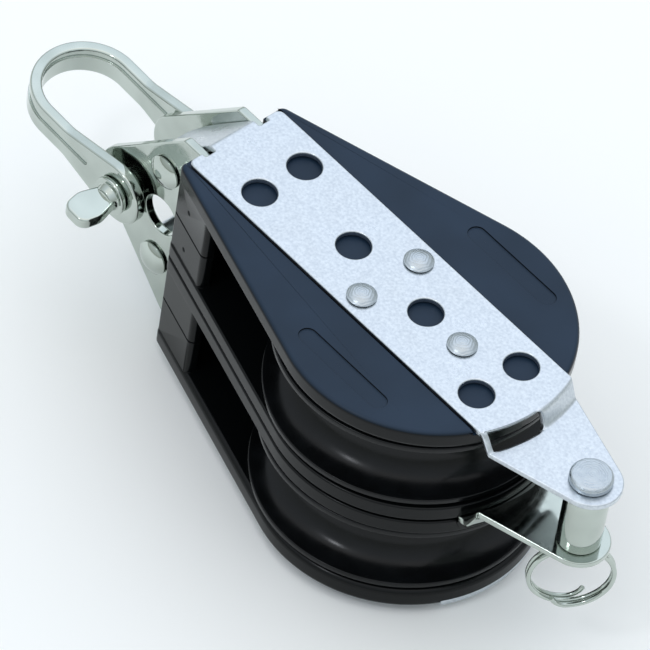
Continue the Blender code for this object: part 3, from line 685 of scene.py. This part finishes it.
# %% Make the three straps
UPPER_ARM_TOP = 22.3
LOWER_ARM_TOP = 5.4
STRAP_EDGE = 0.3
top_strap = make_strap(STRAP_TOP, STRAP_TOP - UPPER_ARM_TOP, HOLES, slotted=True, tongue=True)
finish_piece("strap_top_fine", top_strap, SATIN, "block", thickness=STRAP_THICKNESS,
             edge=STRAP_EDGE)
bottom_strap = make_strap(STRAP_TOP, holes=HOLES, tongue=True, arm=False)
moved(bottom_strap, Matrix.Scale(-1, 4, (0, 0, 1)))
bmesh.ops.reverse_faces(bottom_strap, faces=bottom_strap.faces)
finish_piece("strap_bottom_fine", bottom_strap, SATIN, "block", thickness=STRAP_THICKNESS,
             edge=STRAP_EDGE)
centre_top = STRAP_THICKNESS / 2
centre_strap = make_strap(centre_top, centre_top - LOWER_ARM_TOP)
finish_piece("strap_centre_fine", centre_strap, POLISHED, "block", thickness=STRAP_THICKNESS,
             edge=STRAP_EDGE)

# %% [markdown]
# ## The cheeks
# Each cheek is a moulding: a teardrop plate, half of a U-shaped spacer that stands on it at the
# head, a channel that the strap lies in, and on the outer faces two oval recesses. The outer rim
# has a generous radius that turns the face to shadow, and the inner rim a small one that catches a
# thin line of light, so the two rims are bevelled apart before anything is cut.

# %% Cheek sizes and outlines
CHEEK_RADIUS = 28.6
CHEEK_CENTRE_X = 0.5
CHEEK_HEAD_X = own_box("cheek_top")[0].x
CHEEK_HEAD_HALF = 12.9
CHEEK_TOUCH = touch_angle(Vector((CHEEK_HEAD_X - CHEEK_CENTRE_X, CHEEK_HEAD_HALF)), CHEEK_RADIUS)
CAVITY_LOW = 3.7
CAVITY_HIGH = 21.0
CHEEK_TOP = 25.4
CHEEK_PARTING = 0.28
OUTER_ROUND = 1.0
INNER_ROUND = 0.45
UNDER_ROUND = 1.2
GAP = 0.3
LUG_POCKET_HALF = 8.2
LUG_REAR_X = -53.6
SPACER_LENGTH = 13.1
SPACER_WALL = 2.4
SPACER_INSET = 0.25
HEAD_WALL_X = -52.9
RECESS_LENGTH = 23.1
RECESS_WIDTH = 3.7
RECESS_DEPTH = 0.35
RECESS_X = 0.65
RECESS_Y = 21.25
DIMPLE_RADIUS = 0.9
DIMPLE_ALONG = 5.6
DIMPLE_HIGH = 17.3
DIMPLE_LOW = 6.9


def cheek_outline():
    """Narrow head, two straight sides and a round tail that the sides meet smoothly."""
    arc = [(x, y, 0) for x, y in end_arc(CHEEK_CENTRE_X, CHEEK_RADIUS, CHEEK_TOUCH, 96)]
    far = (CHEEK_HEAD_X, CHEEK_HEAD_HALF, 1.8)
    near = (CHEEK_HEAD_X, -CHEEK_HEAD_HALF, 1.8)
    return filleted(arc + [far, near], steps=8)


def side_line():
    """Start of the straight side at the head, and its direction towards the tail."""
    head = Vector((CHEEK_HEAD_X, CHEEK_HEAD_HALF))
    side = Vector(end_arc(CHEEK_CENTRE_X, CHEEK_RADIUS, CHEEK_TOUCH, 1)[-1]) - head
    return head, side.normalized()


def spacer_outline():
    """A wall along each side of the head and one across it."""
    head, along = side_line()
    inward = Vector((along.y, -along.x))
    start = head + Vector((SPACER_INSET, -SPACER_INSET))
    tip = start + along * SPACER_LENGTH
    tip_in = tip + inward * SPACER_WALL
    wall_x = HEAD_WALL_X + SPACER_WALL
    bend = tip_in - along * ((tip_in.x - wall_x) / along.x)
    mouth = LUG_POCKET_HALF + GAP / 2
    far = [(HEAD_WALL_X, mouth, 0), (start.x, mouth, 0), (start.x, start.y, 0.8),
           (tip.x, tip.y, 1.3), (tip_in.x, tip_in.y, 0.4), (bend.x, bend.y, 0.8)]
    near = [(x, -y, r) for x, y, r in reversed(far)]
    return filleted(far + near, steps=8)


def oval(x, y, length, width):
    """A slot-shaped outline with round ends."""
    radius = width / 2
    reach = length / 2
    corners = [(x - reach, y - radius, radius * 0.999), (x + reach, y - radius, radius * 0.999),
               (x + reach, y + radius, radius * 0.999), (x - reach, y + radius, radius * 0.999)]
    return filleted(corners, steps=10)


# %% Building one cheek


def make_cheek(node, outer, inner, seam, channel, marks=(), dimple=None):
    """A cheek with its spacer. Heights: outer and inner face, spacer seam, channel floor."""
    low, high = min(outer, inner), max(outer, inner)
    direction = math.copysign(1, outer - inner)
    outermost = abs(outer) > CAVITY_HIGH
    bm = plate(cheek_outline(), low, high)
    bevelled(bm, OUTER_ROUND if outermost else INNER_ROUND, 6, at_height(outer))
    bevelled(bm, UNDER_ROUND if outermost else INNER_ROUND, 5, at_height(inner))
    root = inner + direction * 2
    spacer = plate(spacer_outline(), min(root, seam), max(root, seam))
    bevelled(spacer, 0.15, 2, at_height(seam))
    bm = combined(bm, spacer, "UNION")
    half = STRAP_HALF + GAP
    reach = 90
    box = [(-reach, -half), (reach, -half), (reach, half), (-reach, half)]
    beyond = outer + direction * 3
    bm = combined(bm, plate(box, min(channel, beyond), max(channel, beyond)))
    pocket_x = LUG_REAR_X + GAP
    pocket = [(CHEEK_HEAD_X - 5, -LUG_POCKET_HALF), (pocket_x, -LUG_POCKET_HALF),
              (pocket_x, LUG_POCKET_HALF), (CHEEK_HEAD_X - 5, LUG_POCKET_HALF)]
    bm = combined(bm, plate(pocket, low - 1, high + 1))
    for p in RIVETS.values():
        bm = combined(bm, plate(circle(p.x, p.y, RIVET_HOLE_RADIUS, 24), low - 3, high + 3))
    for y in marks:
        floor = outer - direction * RECESS_DEPTH
        recess = oval(RECESS_X, y, RECESS_LENGTH, RECESS_WIDTH)
        bm = combined(bm, plate(recess, min(floor, beyond), max(floor, beyond)))
    if dimple is not None:
        head, along = side_line()
        spot = head + along * DIMPLE_ALONG
        drill = turned([(0, 1.2), (DIMPLE_RADIUS, 1.2), (DIMPLE_RADIUS, 0), (0.0, -0.9)], 24)
        face_out = Vector((-along.y, along.x, 0))
        turn = Vector((0, 0, 1)).rotation_difference(Vector((face_out.x, -face_out.y, 0)))
        matrix = Matrix.Translation((spot.x, -spot.y, dimple)) @ turn.to_matrix().to_4x4()
        bm = combined(bm, moved(drill, matrix))
    bmesh.ops.dissolve_limit(bm, angle_limit=0.002, verts=bm.verts, edges=bm.edges, delimit=set())
    return finish_piece(f"{node}_fine", bm, NYLON, "block", edge=0.1)


# %% Make the four cheeks
strap_floor = STRAP_TOP - STRAP_THICKNESS - GAP
centre_floor = STRAP_THICKNESS / 2 + GAP
FIT = GAP / 2
make_cheek("cheek_top", CHEEK_TOP, CAVITY_HIGH, SHEAVE_Z + FIT, strap_floor,
           (-RECESS_Y, RECESS_Y), dimple=DIMPLE_HIGH)
make_cheek("cheek_mid_upper", CHEEK_PARTING, CAVITY_LOW, SHEAVE_Z - FIT, centre_floor,
           dimple=DIMPLE_LOW)
make_cheek("cheek_mid_lower", -CHEEK_PARTING, -CAVITY_LOW, FIT - SHEAVE_Z, -centre_floor)
make_cheek("cheek_bottom", -CHEEK_TOP, -CAVITY_HIGH, -SHEAVE_Z - FIT, -strap_floor,
           (-RECESS_Y, RECESS_Y))

# %% [markdown]
# ## The sheaves
# A sheave is turned from bar, so one section spun about the axis is the whole of it: a bore for the
# bearing, two thin flanges with rounded rims, and a hollow that the rope lies in. The rim radius is
# small but matters most, because it draws the bright rings that show where each wheel begins.

# %% Sheave section
sheave_low, sheave_high = own_box("sheave_upper")
SHEAVE_RADIUS = sheave_high.y
SHEAVE_HALF = (sheave_high.z - sheave_low.z) / 2
SHEAVE_BORE = 17.9
FLANGE_LAND = 1.3
GROOVE_DEPTH = 7.3
GROOVE_POWER = 0.86


def sheave_section():
    """Bore, faces, rounded rims and a groove that is flatter at its floor than a half circle."""
    shoulder = SHEAVE_HALF - FLANGE_LAND
    steps = 36
    groove = []
    for k in range(1, steps):
        angle = math.pi * k / steps
        depth = GROOVE_DEPTH * math.sin(angle) ** GROOVE_POWER
        groove.append((SHEAVE_RADIUS - depth, shoulder * math.cos(angle), 0))
    top = [(SHEAVE_BORE, SHEAVE_HALF, 0.3), (SHEAVE_RADIUS, SHEAVE_HALF, 0.35),
           (SHEAVE_RADIUS, shoulder, 0.25)]
    bottom = [(r, -z, edge) for r, z, edge in reversed(top)]
    return rounded_section(top + groove + bottom, steps=4)


for level, body, sign in (("upper", "sheave_a", 1), ("lower", "sheave_b", -1)):
    wheel = moved(turned(sheave_section(), 160), Matrix.Translation((0, 0, sign * SHEAVE_Z)))
    finish_piece(f"sheave_{level}_fine", wheel, ACETAL, body, rings=True)

# %% [markdown]
# ## Rivets
# The axle rivets hold straps, cheeks and hubs together, and two more clamp the lugs. A rivet head
# is a shallow dome with a short upright edge, slightly flattened on top by the tool. Spinning a
# dome section gives that, and the spun finish gives each head rings about its own axis.

# %% Rivet sections and heads
AXLE_HEAD = {"shank": 1.75, "radius": 2.92, "height": 1.35}
CROSS_HEAD = {"shank": 1.6, "radius": 3.6, "height": 1.7}
CROSS_BORE = 1.75
TUBE_RADIUS = 2.4


def rivet_section(seat, shank, radius, height):
    """Half of a rivet above the middle, mirrored to make both heads."""
    rim = height * 0.22
    sphere = (radius ** 2 + (height - rim) ** 2) / (2 * (height - rim))
    span = math.asin(radius / sphere)
    steps = 10
    dome = []
    for k in range(steps + 1):
        angle = span * k / steps
        flat = 0.92 + 0.08 * math.sin(math.pi / 2 * k / steps)
        dome.append((sphere * math.sin(angle),
                     seat + rim + ((height - rim) - sphere * (1 - math.cos(angle))) * flat))
    half = dome + [(radius, seat + rim * 0.5), (radius - 0.12, seat), (shank, seat)]
    return half + [(r, -z) for r, z in reversed(half)]


def make_rivet(node, sizes, seat, matrix, finish):
    """A rivet with a head at each end, on the axis that the matrix gives."""
    bm = moved(turned(rivet_section(seat, **sizes), 48), matrix)
    return finish_piece(f"{node}_fine", bm, finish, "block", rings=True)


for node, place in RIVETS.items():
    spun = spun_steel(middle_of(node))
    make_rivet(node, AXLE_HEAD, STRAP_TOP + FIT, Matrix.Translation((place.x, place.y, 0)), spun)
lug_far_low, lug_far_high = own_box("lug_far")
ALONG_Y = Matrix.Rotation(math.pi / 2, 4, "X")
CROSS_X = own(middle_of("cross_rivet_upper")).x
for level, sign in (("upper", 1), ("lower", -1)):
    spot = Matrix.Translation((CROSS_X, 0, sign * SHEAVE_Z)) @ ALONG_Y
    make_rivet(f"cross_rivet_{level}", CROSS_HEAD, lug_far_high.y + FIT, spot, POLISHED)
    reach = lug_far_low.y - FIT
    tube = [(CROSS_BORE, reach, 0.1), (TUBE_RADIUS, reach, 0.2), (TUBE_RADIUS, -reach, 0.2),
            (CROSS_BORE, -reach, 0.1)]
    finish_piece(f"cross_tube_{level}_fine", moved(turned(rounded_section(tube), 48), spot),
                 POLISHED, "block", rings=True)

# %% [markdown]
# ## The lugs
# Two upright plates carry the shackle. Their edge slopes at 45 degrees from the strap to a tip that
# is round about the pin, and a large hole beside the pin saves weight and takes a lashing. They are
# laser cut and buffed, so the edges are rounded by hand work rather than by a tool.

# %% Lug outline and plates
LUG_TOP = 24.35
LUG_SHOULDER_X = -59.75
LUG_TIP_RADIUS = 8.13
LUG_HOLE_X = -63.0
LUG_HOLE_RADIUS = 4.35


def lug_outline():
    """Upright rear edge, two 45 degree shoulders and the round tip, in x and z."""
    apex = LUG_SHOULDER_X - LUG_TOP
    return filleted([(LUG_REAR_X, -LUG_TOP, 0.6), (LUG_REAR_X, LUG_TOP, 0.6),
                     (LUG_SHOULDER_X, LUG_TOP, 1.2), (apex, 0, LUG_TIP_RADIUS),
                     (LUG_SHOULDER_X, -LUG_TOP, 1.2)], steps=20)


for node in ("lug_near", "lug_far"):
    low, high = own_box(node)
    openings = [circle(SHACKLE_X, 0, PIN_BORE, 40), circle(LUG_HOLE_X, 0, LUG_HOLE_RADIUS, 64),
                circle(CROSS_X, SHEAVE_Z, CROSS_BORE, 32),
                circle(CROSS_X, -SHEAVE_Z, CROSS_BORE, 32)]
    flat = plate(lug_outline(), -high.y, -low.y, openings)
    finish_piece(f"{node}_fine", moved(flat, ALONG_Y), POLISHED, "block", edge=0.35)

# %% [markdown]
# ## The shackle
# The bow is a flat bar with a groove rolled along both faces, bent round, with eyes flared at its
# ends. One leg is drawn as a plate, its end is spun through half a turn for the crown, and the leg
# is mirrored to close the shape. The grooves are cut last, because they stop short of the eyes.

# %% Bow sizes and the bare bar
BOW_INNER = 8.95
BOW_BAR = 2.35
BOW_HALF_WIDTH = 3.25
BOW_OUTER = BOW_INNER + BOW_BAR
BAR_ROUND = 0.5
CROWN_X = -21.6
CROWN_STEPS = 56
EYE_RADIUS = 6.7
EYE_FLARE_X = -15.0
SHACKLE_TILT = math.radians(3)
AT_SHACKLE = Matrix.Translation((SHACKLE_X, 0, 0)) @ Matrix.Rotation(SHACKLE_TILT, 4, "Y")


def leg_outline():
    """A leg seen from the side: round eye, flare, and a straight bar up to the crown."""
    touch = touch_angle(Vector((EYE_FLARE_X, BOW_HALF_WIDTH)), EYE_RADIUS)
    eye = [(x, z, 0) for x, z in end_arc(0, EYE_RADIUS, touch, 48)]
    flare = [(EYE_FLARE_X, BOW_HALF_WIDTH, 9.0)]
    bar = [(CROWN_X, BOW_HALF_WIDTH, 0), (CROWN_X, -BOW_HALF_WIDTH, 0)]
    mirrored = [(x, -z, r) for x, z, r in flare]
    return filleted(eye + flare + bar + mirrored, steps=8)


def bent_round(bm):
    """Opens a leg where the crown starts, mirrors it, and spins the opening to the other leg."""
    end = [f for f in bm.faces if all(abs(v.co.x - CROWN_X) < MERGE for v in f.verts)]
    bmesh.ops.delete(bm, geom=end, context="FACES_ONLY")
    mouth = [e for e in bm.edges if e.is_boundary]
    corners = list({v for e in mouth for v in e.verts})
    other = bmesh.ops.duplicate(bm, geom=bm.verts[:] + bm.edges[:] + bm.faces[:])["geom"]
    far = [g for g in other if isinstance(g, bmesh.types.BMVert)]
    bmesh.ops.scale(bm, verts=far, vec=(1, -1, 1))
    bmesh.ops.spin(bm, geom=mouth + corners, cent=(CROWN_X, 0, 0), axis=(0, 0, 1),
                   angle=-math.pi, steps=CROWN_STEPS)
    bmesh.ops.remove_doubles(bm, verts=bm.verts, dist=MERGE)
    bmesh.ops.recalc_face_normals(bm, faces=bm.faces)
    return bm


def bare_bow():
    """Leg, crown and mirrored leg as one closed bar."""
    leg = moved(plate(leg_outline(), BOW_INNER, BOW_OUTER, [circle(0, 0, PIN_BORE, 40)]), ALONG_Y)
    return bevelled(bent_round(leg), BAR_ROUND, 4, is_sharp)


# %% Grooves along the bar
GROOVE_DEPTH_BAR = 0.4
GROOVES = {"outer": {"face": BOW_OUTER, "low": -0.25, "high": 1.75, "sign": 1},
           "inner": {"face": BOW_INNER, "low": 1.0, "high": 2.6, "sign": -1}}
GROOVE_END_X = -8.2


def groove_tool(face, low, high, sign):
    """A ribbon along one face of the bar, with rounded ends, that cuts the groove."""
    reach = 1.2
    inner, outer = sorted((face - sign * GROOVE_DEPTH_BAR, face + sign * reach))
    radius = (high - low) / 2
    outline = filleted([(GROOVE_END_X, high, radius * 0.98), (CROWN_X, high, 0), (CROWN_X, low, 0),
                        (GROOVE_END_X, low, radius * 0.98)], steps=8)
    return bent_round(moved(plate(outline, inner, outer), ALONG_Y))


bow = bare_bow()
for groove in GROOVES.values():
    bow = combined(bow, groove_tool(**groove))
finish_piece("shackle_bow_fine", moved(bow, AT_SHACKLE), POLISHED, "bow", edge=0.1)

# %% [markdown]
# ## The shackle pin
# The pin is turned with a collar that seats on the eye, a neck, and a paddle that thumb and finger
# turn. The paddle is forged flat with a soft edge, so it is a plate with a wide rounded rim that
# is joined to the turned part.

# %% Pin and thumb paddle
PIN_RADIUS = 2.5
COLLAR_RADIUS = 4.0
COLLAR_LENGTH = 1.1
NECK_RADIUS = 2.9
NECK_LENGTH = 1.0
PADDLE_LENGTH = 8.2
PADDLE_WIDTH = 7.4
PADDLE_THICKNESS = 2.6
EYE_FACE = BOW_OUTER + 0.12 + FIT


def pin_section():
    """The turned part, from the neck's end inside the paddle to the tip beyond the far eye."""
    neck = EYE_FACE + COLLAR_LENGTH
    grip = neck + NECK_LENGTH
    tip = -BOW_OUTER - 1.4
    return rounded_section([(0, grip + 0.4, 0), (NECK_RADIUS - 0.6, grip + 0.4, 0.2),
                            (NECK_RADIUS, neck, 0.25), (COLLAR_RADIUS, neck, 0.35),
                            (COLLAR_RADIUS, EYE_FACE, 0.3), (PIN_RADIUS, EYE_FACE, 0),
                            (PIN_RADIUS, tip, 0.5), (0, tip, 0)])


def paddle():
    """The thumb grip: a rounded four-sided plate, widest near its middle."""
    start = -EYE_FACE - COLLAR_LENGTH - NECK_LENGTH + 0.6
    end = start - 0.6 - PADDLE_LENGTH
    half = PADDLE_WIDTH / 2
    middle = (start + end) / 2
    corners = [(-half * 0.66, start, 0.8), (-half, middle, 4.0), (-half * 0.78, end, 2.4),
               (half * 0.78, end, 2.4), (half, middle, 4.0), (half * 0.66, start, 0.8)]
    low = -PADDLE_THICKNESS / 2
    bm = plate(filleted(corners, 10), low, -low)
    return bevelled(bm, 0.55, 5, is_sharp)


pin = combined(moved(turned(pin_section(), 64), ALONG_Y), paddle(), "UNION")
finish_piece("shackle_pin_fine", moved(pin, AT_SHACKLE), POLISHED, "grip_pin")

# %% [markdown]
# ## The becket
# A clevis pin drops through both arms, a loose bush on it takes the rope's eye, and a split ring
# through the pin's foot keeps it in. The head is a flat button with a rounded edge. The bush is a
# plain tube whose ends are eased. All three are turned sections with their own small radii.

# %% Clevis pin and bush
BECKET_PIN_RADIUS = 2.5
BECKET_HEAD_RADIUS = 4.2
BECKET_HEAD_HEIGHT = 1.6
RING_HOLE_RADIUS = 1.35
ring_place = own(joint_value("split_ring_swing", "pos_m"))
ring_axis = joint_value("split_ring_swing", "axis")
RING_TURN = Matrix.Rotation(math.atan2(ring_axis.y, ring_axis.x), 4, "Z")
bush_low, bush_high = own_box("becket_bush")
pin_low, pin_high = own_box("becket_pin")
AT_BECKET = Matrix.Translation((BECKET_X, 0, 0))


def button_section():
    """Clevis pin: button head with a rounded edge, straight shank, eased foot."""
    top, seat = pin_high.z, pin_high.z - BECKET_HEAD_HEIGHT
    return rounded_section([(0, top, 0), (BECKET_HEAD_RADIUS, top, 0.75),
                            (BECKET_HEAD_RADIUS, seat, 0.2), (BECKET_PIN_RADIUS, seat, 0),
                            (BECKET_PIN_RADIUS, pin_low.z, 0.35), (0, pin_low.z, 0)])


drill = moved(plate(circle(0, 0, RING_HOLE_RADIUS, 32), -6, 6), Matrix.Rotation(math.pi / 2, 4, "Y"))
drill = moved(drill, Matrix.Translation((0, 0, ring_place.z)) @ RING_TURN)
clevis = combined(turned(button_section(), 64), drill)
clevis_centre = TO_FRAME @ Vector((BECKET_X, 0, 0))
finish_piece("becket_pin_fine", moved(clevis, AT_BECKET), spun_steel(clevis_centre), "clevis_pin",
             rings=True)
bush = [(PIN_BORE, bush_high.z, 0.15), (bush_high.y, bush_high.z, 0.35),
        (bush_high.y, bush_low.z, 0.35), (PIN_BORE, bush_low.z, 0.15)]
finish_piece("becket_bush_fine", moved(turned(rounded_section(bush), 96), AT_BECKET), POLISHED,
             "bush", rings=True)

# %% [markdown]
# ## The split ring
# Two turns of round spring wire lie against each other, and the loose ends are set inwards so that
# a thumbnail can open them. The path is a formula: a circle that climbs a little in each turn, with
# both ends easing towards the middle. A curve with a round bevel makes the wire, then becomes mesh.

# %% Wire path and ring
RING_RADIUS = 8.0
WIRE_RADIUS = 0.5
RING_PITCH = 1.15
RING_TURNS = 2.16
POINTS_PER_TURN = 56
END_TURNS = 0.07
END_INSET = 1.5


def wire_point(turn):
    """A point of the wire. Turn 0 passes through the middle of the pin's hole."""
    angle = 2 * math.pi * turn - math.pi / 2
    from_end = RING_TURNS / 2 - abs(turn)
    ease = max(1 - from_end / END_TURNS, 0) ** 1.6
    radius = RING_RADIUS - END_INSET * ease
    return (radius * math.cos(angle), RING_PITCH * turn, radius * math.sin(angle) - RING_RADIUS)


wire = bpy.data.curves.new("wire", "CURVE")
wire.dimensions = "3D"
wire.bevel_depth = WIRE_RADIUS
wire.bevel_resolution = 4
wire.use_fill_caps = True
line = wire.splines.new("POLY")
count = round(RING_TURNS * POINTS_PER_TURN)
line.points.add(count)
for k in range(count + 1):
    line.points[k].co = (*wire_point((k / count - 0.5) * RING_TURNS), 1)
wire_object = bpy.data.objects.new("wire", wire)
bpy.context.scene.collection.objects.link(wire_object)
bpy.context.view_layer.update()
graph = bpy.context.evaluated_depsgraph_get()
wire_mesh = bpy.data.meshes.new_from_object(wire_object.evaluated_get(graph))
ring = bmesh.new()
ring.from_mesh(wire_mesh)
bpy.data.objects.remove(wire_object)
bpy.data.meshes.remove(wire_mesh)
bmesh.ops.remove_doubles(ring, verts=ring.verts, dist=MERGE)
bmesh.ops.recalc_face_normals(ring, faces=ring.faces)
moved(ring, Matrix.Translation(ring_place) @ RING_TURN)
finish_piece("split_ring_fine", ring, POLISHED, "ring", rings=True)

# %% [markdown]
# ## Floor, light and camera
# Metal shows only what is around it, so most of the light is a plain surround that gets brighter
# towards the top. A wide, dim panel stands where the flat faces mirror it, and a small bright box on
# the near side gives the edges and domes their sharp highlights. The camera is a long lens far away,
# so parallel edges stay nearly parallel. There is no film curve, so white is white.

# %% Stage and floor
bpy.context.scene.view_settings.view_transform = "Standard"
floor_bm = bmesh.new()
FLOOR_HALF = 4.0
bmesh.ops.create_grid(floor_bm, x_segments=1, y_segments=1, size=FLOOR_HALF)
bmesh.ops.translate(floor_bm, verts=floor_bm.verts, vec=(0, 0, cad_low.z - 0.0002))
floor_mesh = bpy.data.meshes.new("floor")
floor_bm.to_mesh(floor_mesh)
floor_bm.free()
floor = bpy.data.objects.new("floor", floor_mesh)
bpy.context.scene.collection.objects.link(floor)
# Matt white paper: one even tone, so that nothing on the floor draws the eye.
paper = new_material("matt_white_paper", Roughness=0.9, Base_Color=linear("#FCFCFA"))[0]
floor_mesh.materials.append(paper)
floor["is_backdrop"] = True

world = bpy.data.worlds.new("studio")
bpy.context.scene.world = world
world.use_nodes = True
world_tree = world.node_tree
sky = world_tree.nodes["Background"]
aim = add_node(world_tree, "ShaderNodeTexCoord").outputs["Generated"]
split = add_node(world_tree, "ShaderNodeSeparateXYZ", {"Vector": aim})
fade = add_node(world_tree, "ShaderNodeValToRGB", {"Fac": split.outputs["Z"]})
fade.color_ramp.elements[0].color = linear("#9FA5A1")
fade.color_ramp.elements[1].color = linear("#FFFFFF")
middle = fade.color_ramp.elements.new(0.75)
middle.color = linear("#D2DAE2")
world_tree.links.new(fade.outputs["Color"], sky.inputs["Color"])
sky.inputs["Strength"].default_value = 1.35
print("floor at", round(cad_low.z, 5))

# %% Lights and camera


def soft_light(name, direction, distance, size, radiance, colour):
    """A square area light aimed at the block, set by how bright its face looks."""
    light = bpy.data.lights.new(name, "AREA")
    light.size = size
    light.energy = radiance * math.pi * size * size
    light.color = linear(colour)[:3]
    item = bpy.data.objects.new(name, light)
    aim_from = Vector(direction).normalized()
    item.location = aim_from * distance
    item.rotation_mode = "QUATERNION"
    item.rotation_quaternion = (-aim_from).to_track_quat("-Z", "Y")
    item.visible_camera = False
    bpy.context.scene.collection.objects.link(item)


AZIMUTH = math.radians(41.165)
ELEVATION = math.radians(48.819)
ROLL = math.radians(9.705)
DISTANCE = 1.5146
AIM_OFFSET = Vector((2.335, 0.33, -0.94)) * MM
back = Vector((math.sin(AZIMUTH) * math.cos(ELEVATION), -math.cos(AZIMUTH) * math.cos(ELEVATION),
               math.sin(ELEVATION)))
mirror_way = Vector((-back.x, -back.y, back.z))
soft_light("sky_panel", mirror_way, 1.6, size=1.5, radiance=0.38, colour="#DCE8FF")
soft_light("key_box", (-0.05, -0.62, 0.85), 1.6, size=0.2, radiance=14.0, colour="#F4F8FF")

camera_data = bpy.data.cameras.new("camera")
camera_data.sensor_width = 36
camera_data.lens = 443.08
camera_data.clip_end = 50
camera = bpy.data.objects.new("camera", camera_data)
bpy.context.scene.collection.objects.link(camera)
target = (cad_low + cad_high) / 2 + AIM_OFFSET
camera.location = target + back * DISTANCE
camera.rotation_mode = "QUATERNION"
roll_turn = Matrix.Rotation(ROLL, 4, "Z").to_quaternion()
camera.rotation_quaternion = (-back).to_track_quat("-Z", "Y") @ roll_turn
bpy.context.scene.camera = camera

# %% Print the visual box and finish
low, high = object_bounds()
print("visual box in mm:", [round(v * 1000, 2) for v in high - low])
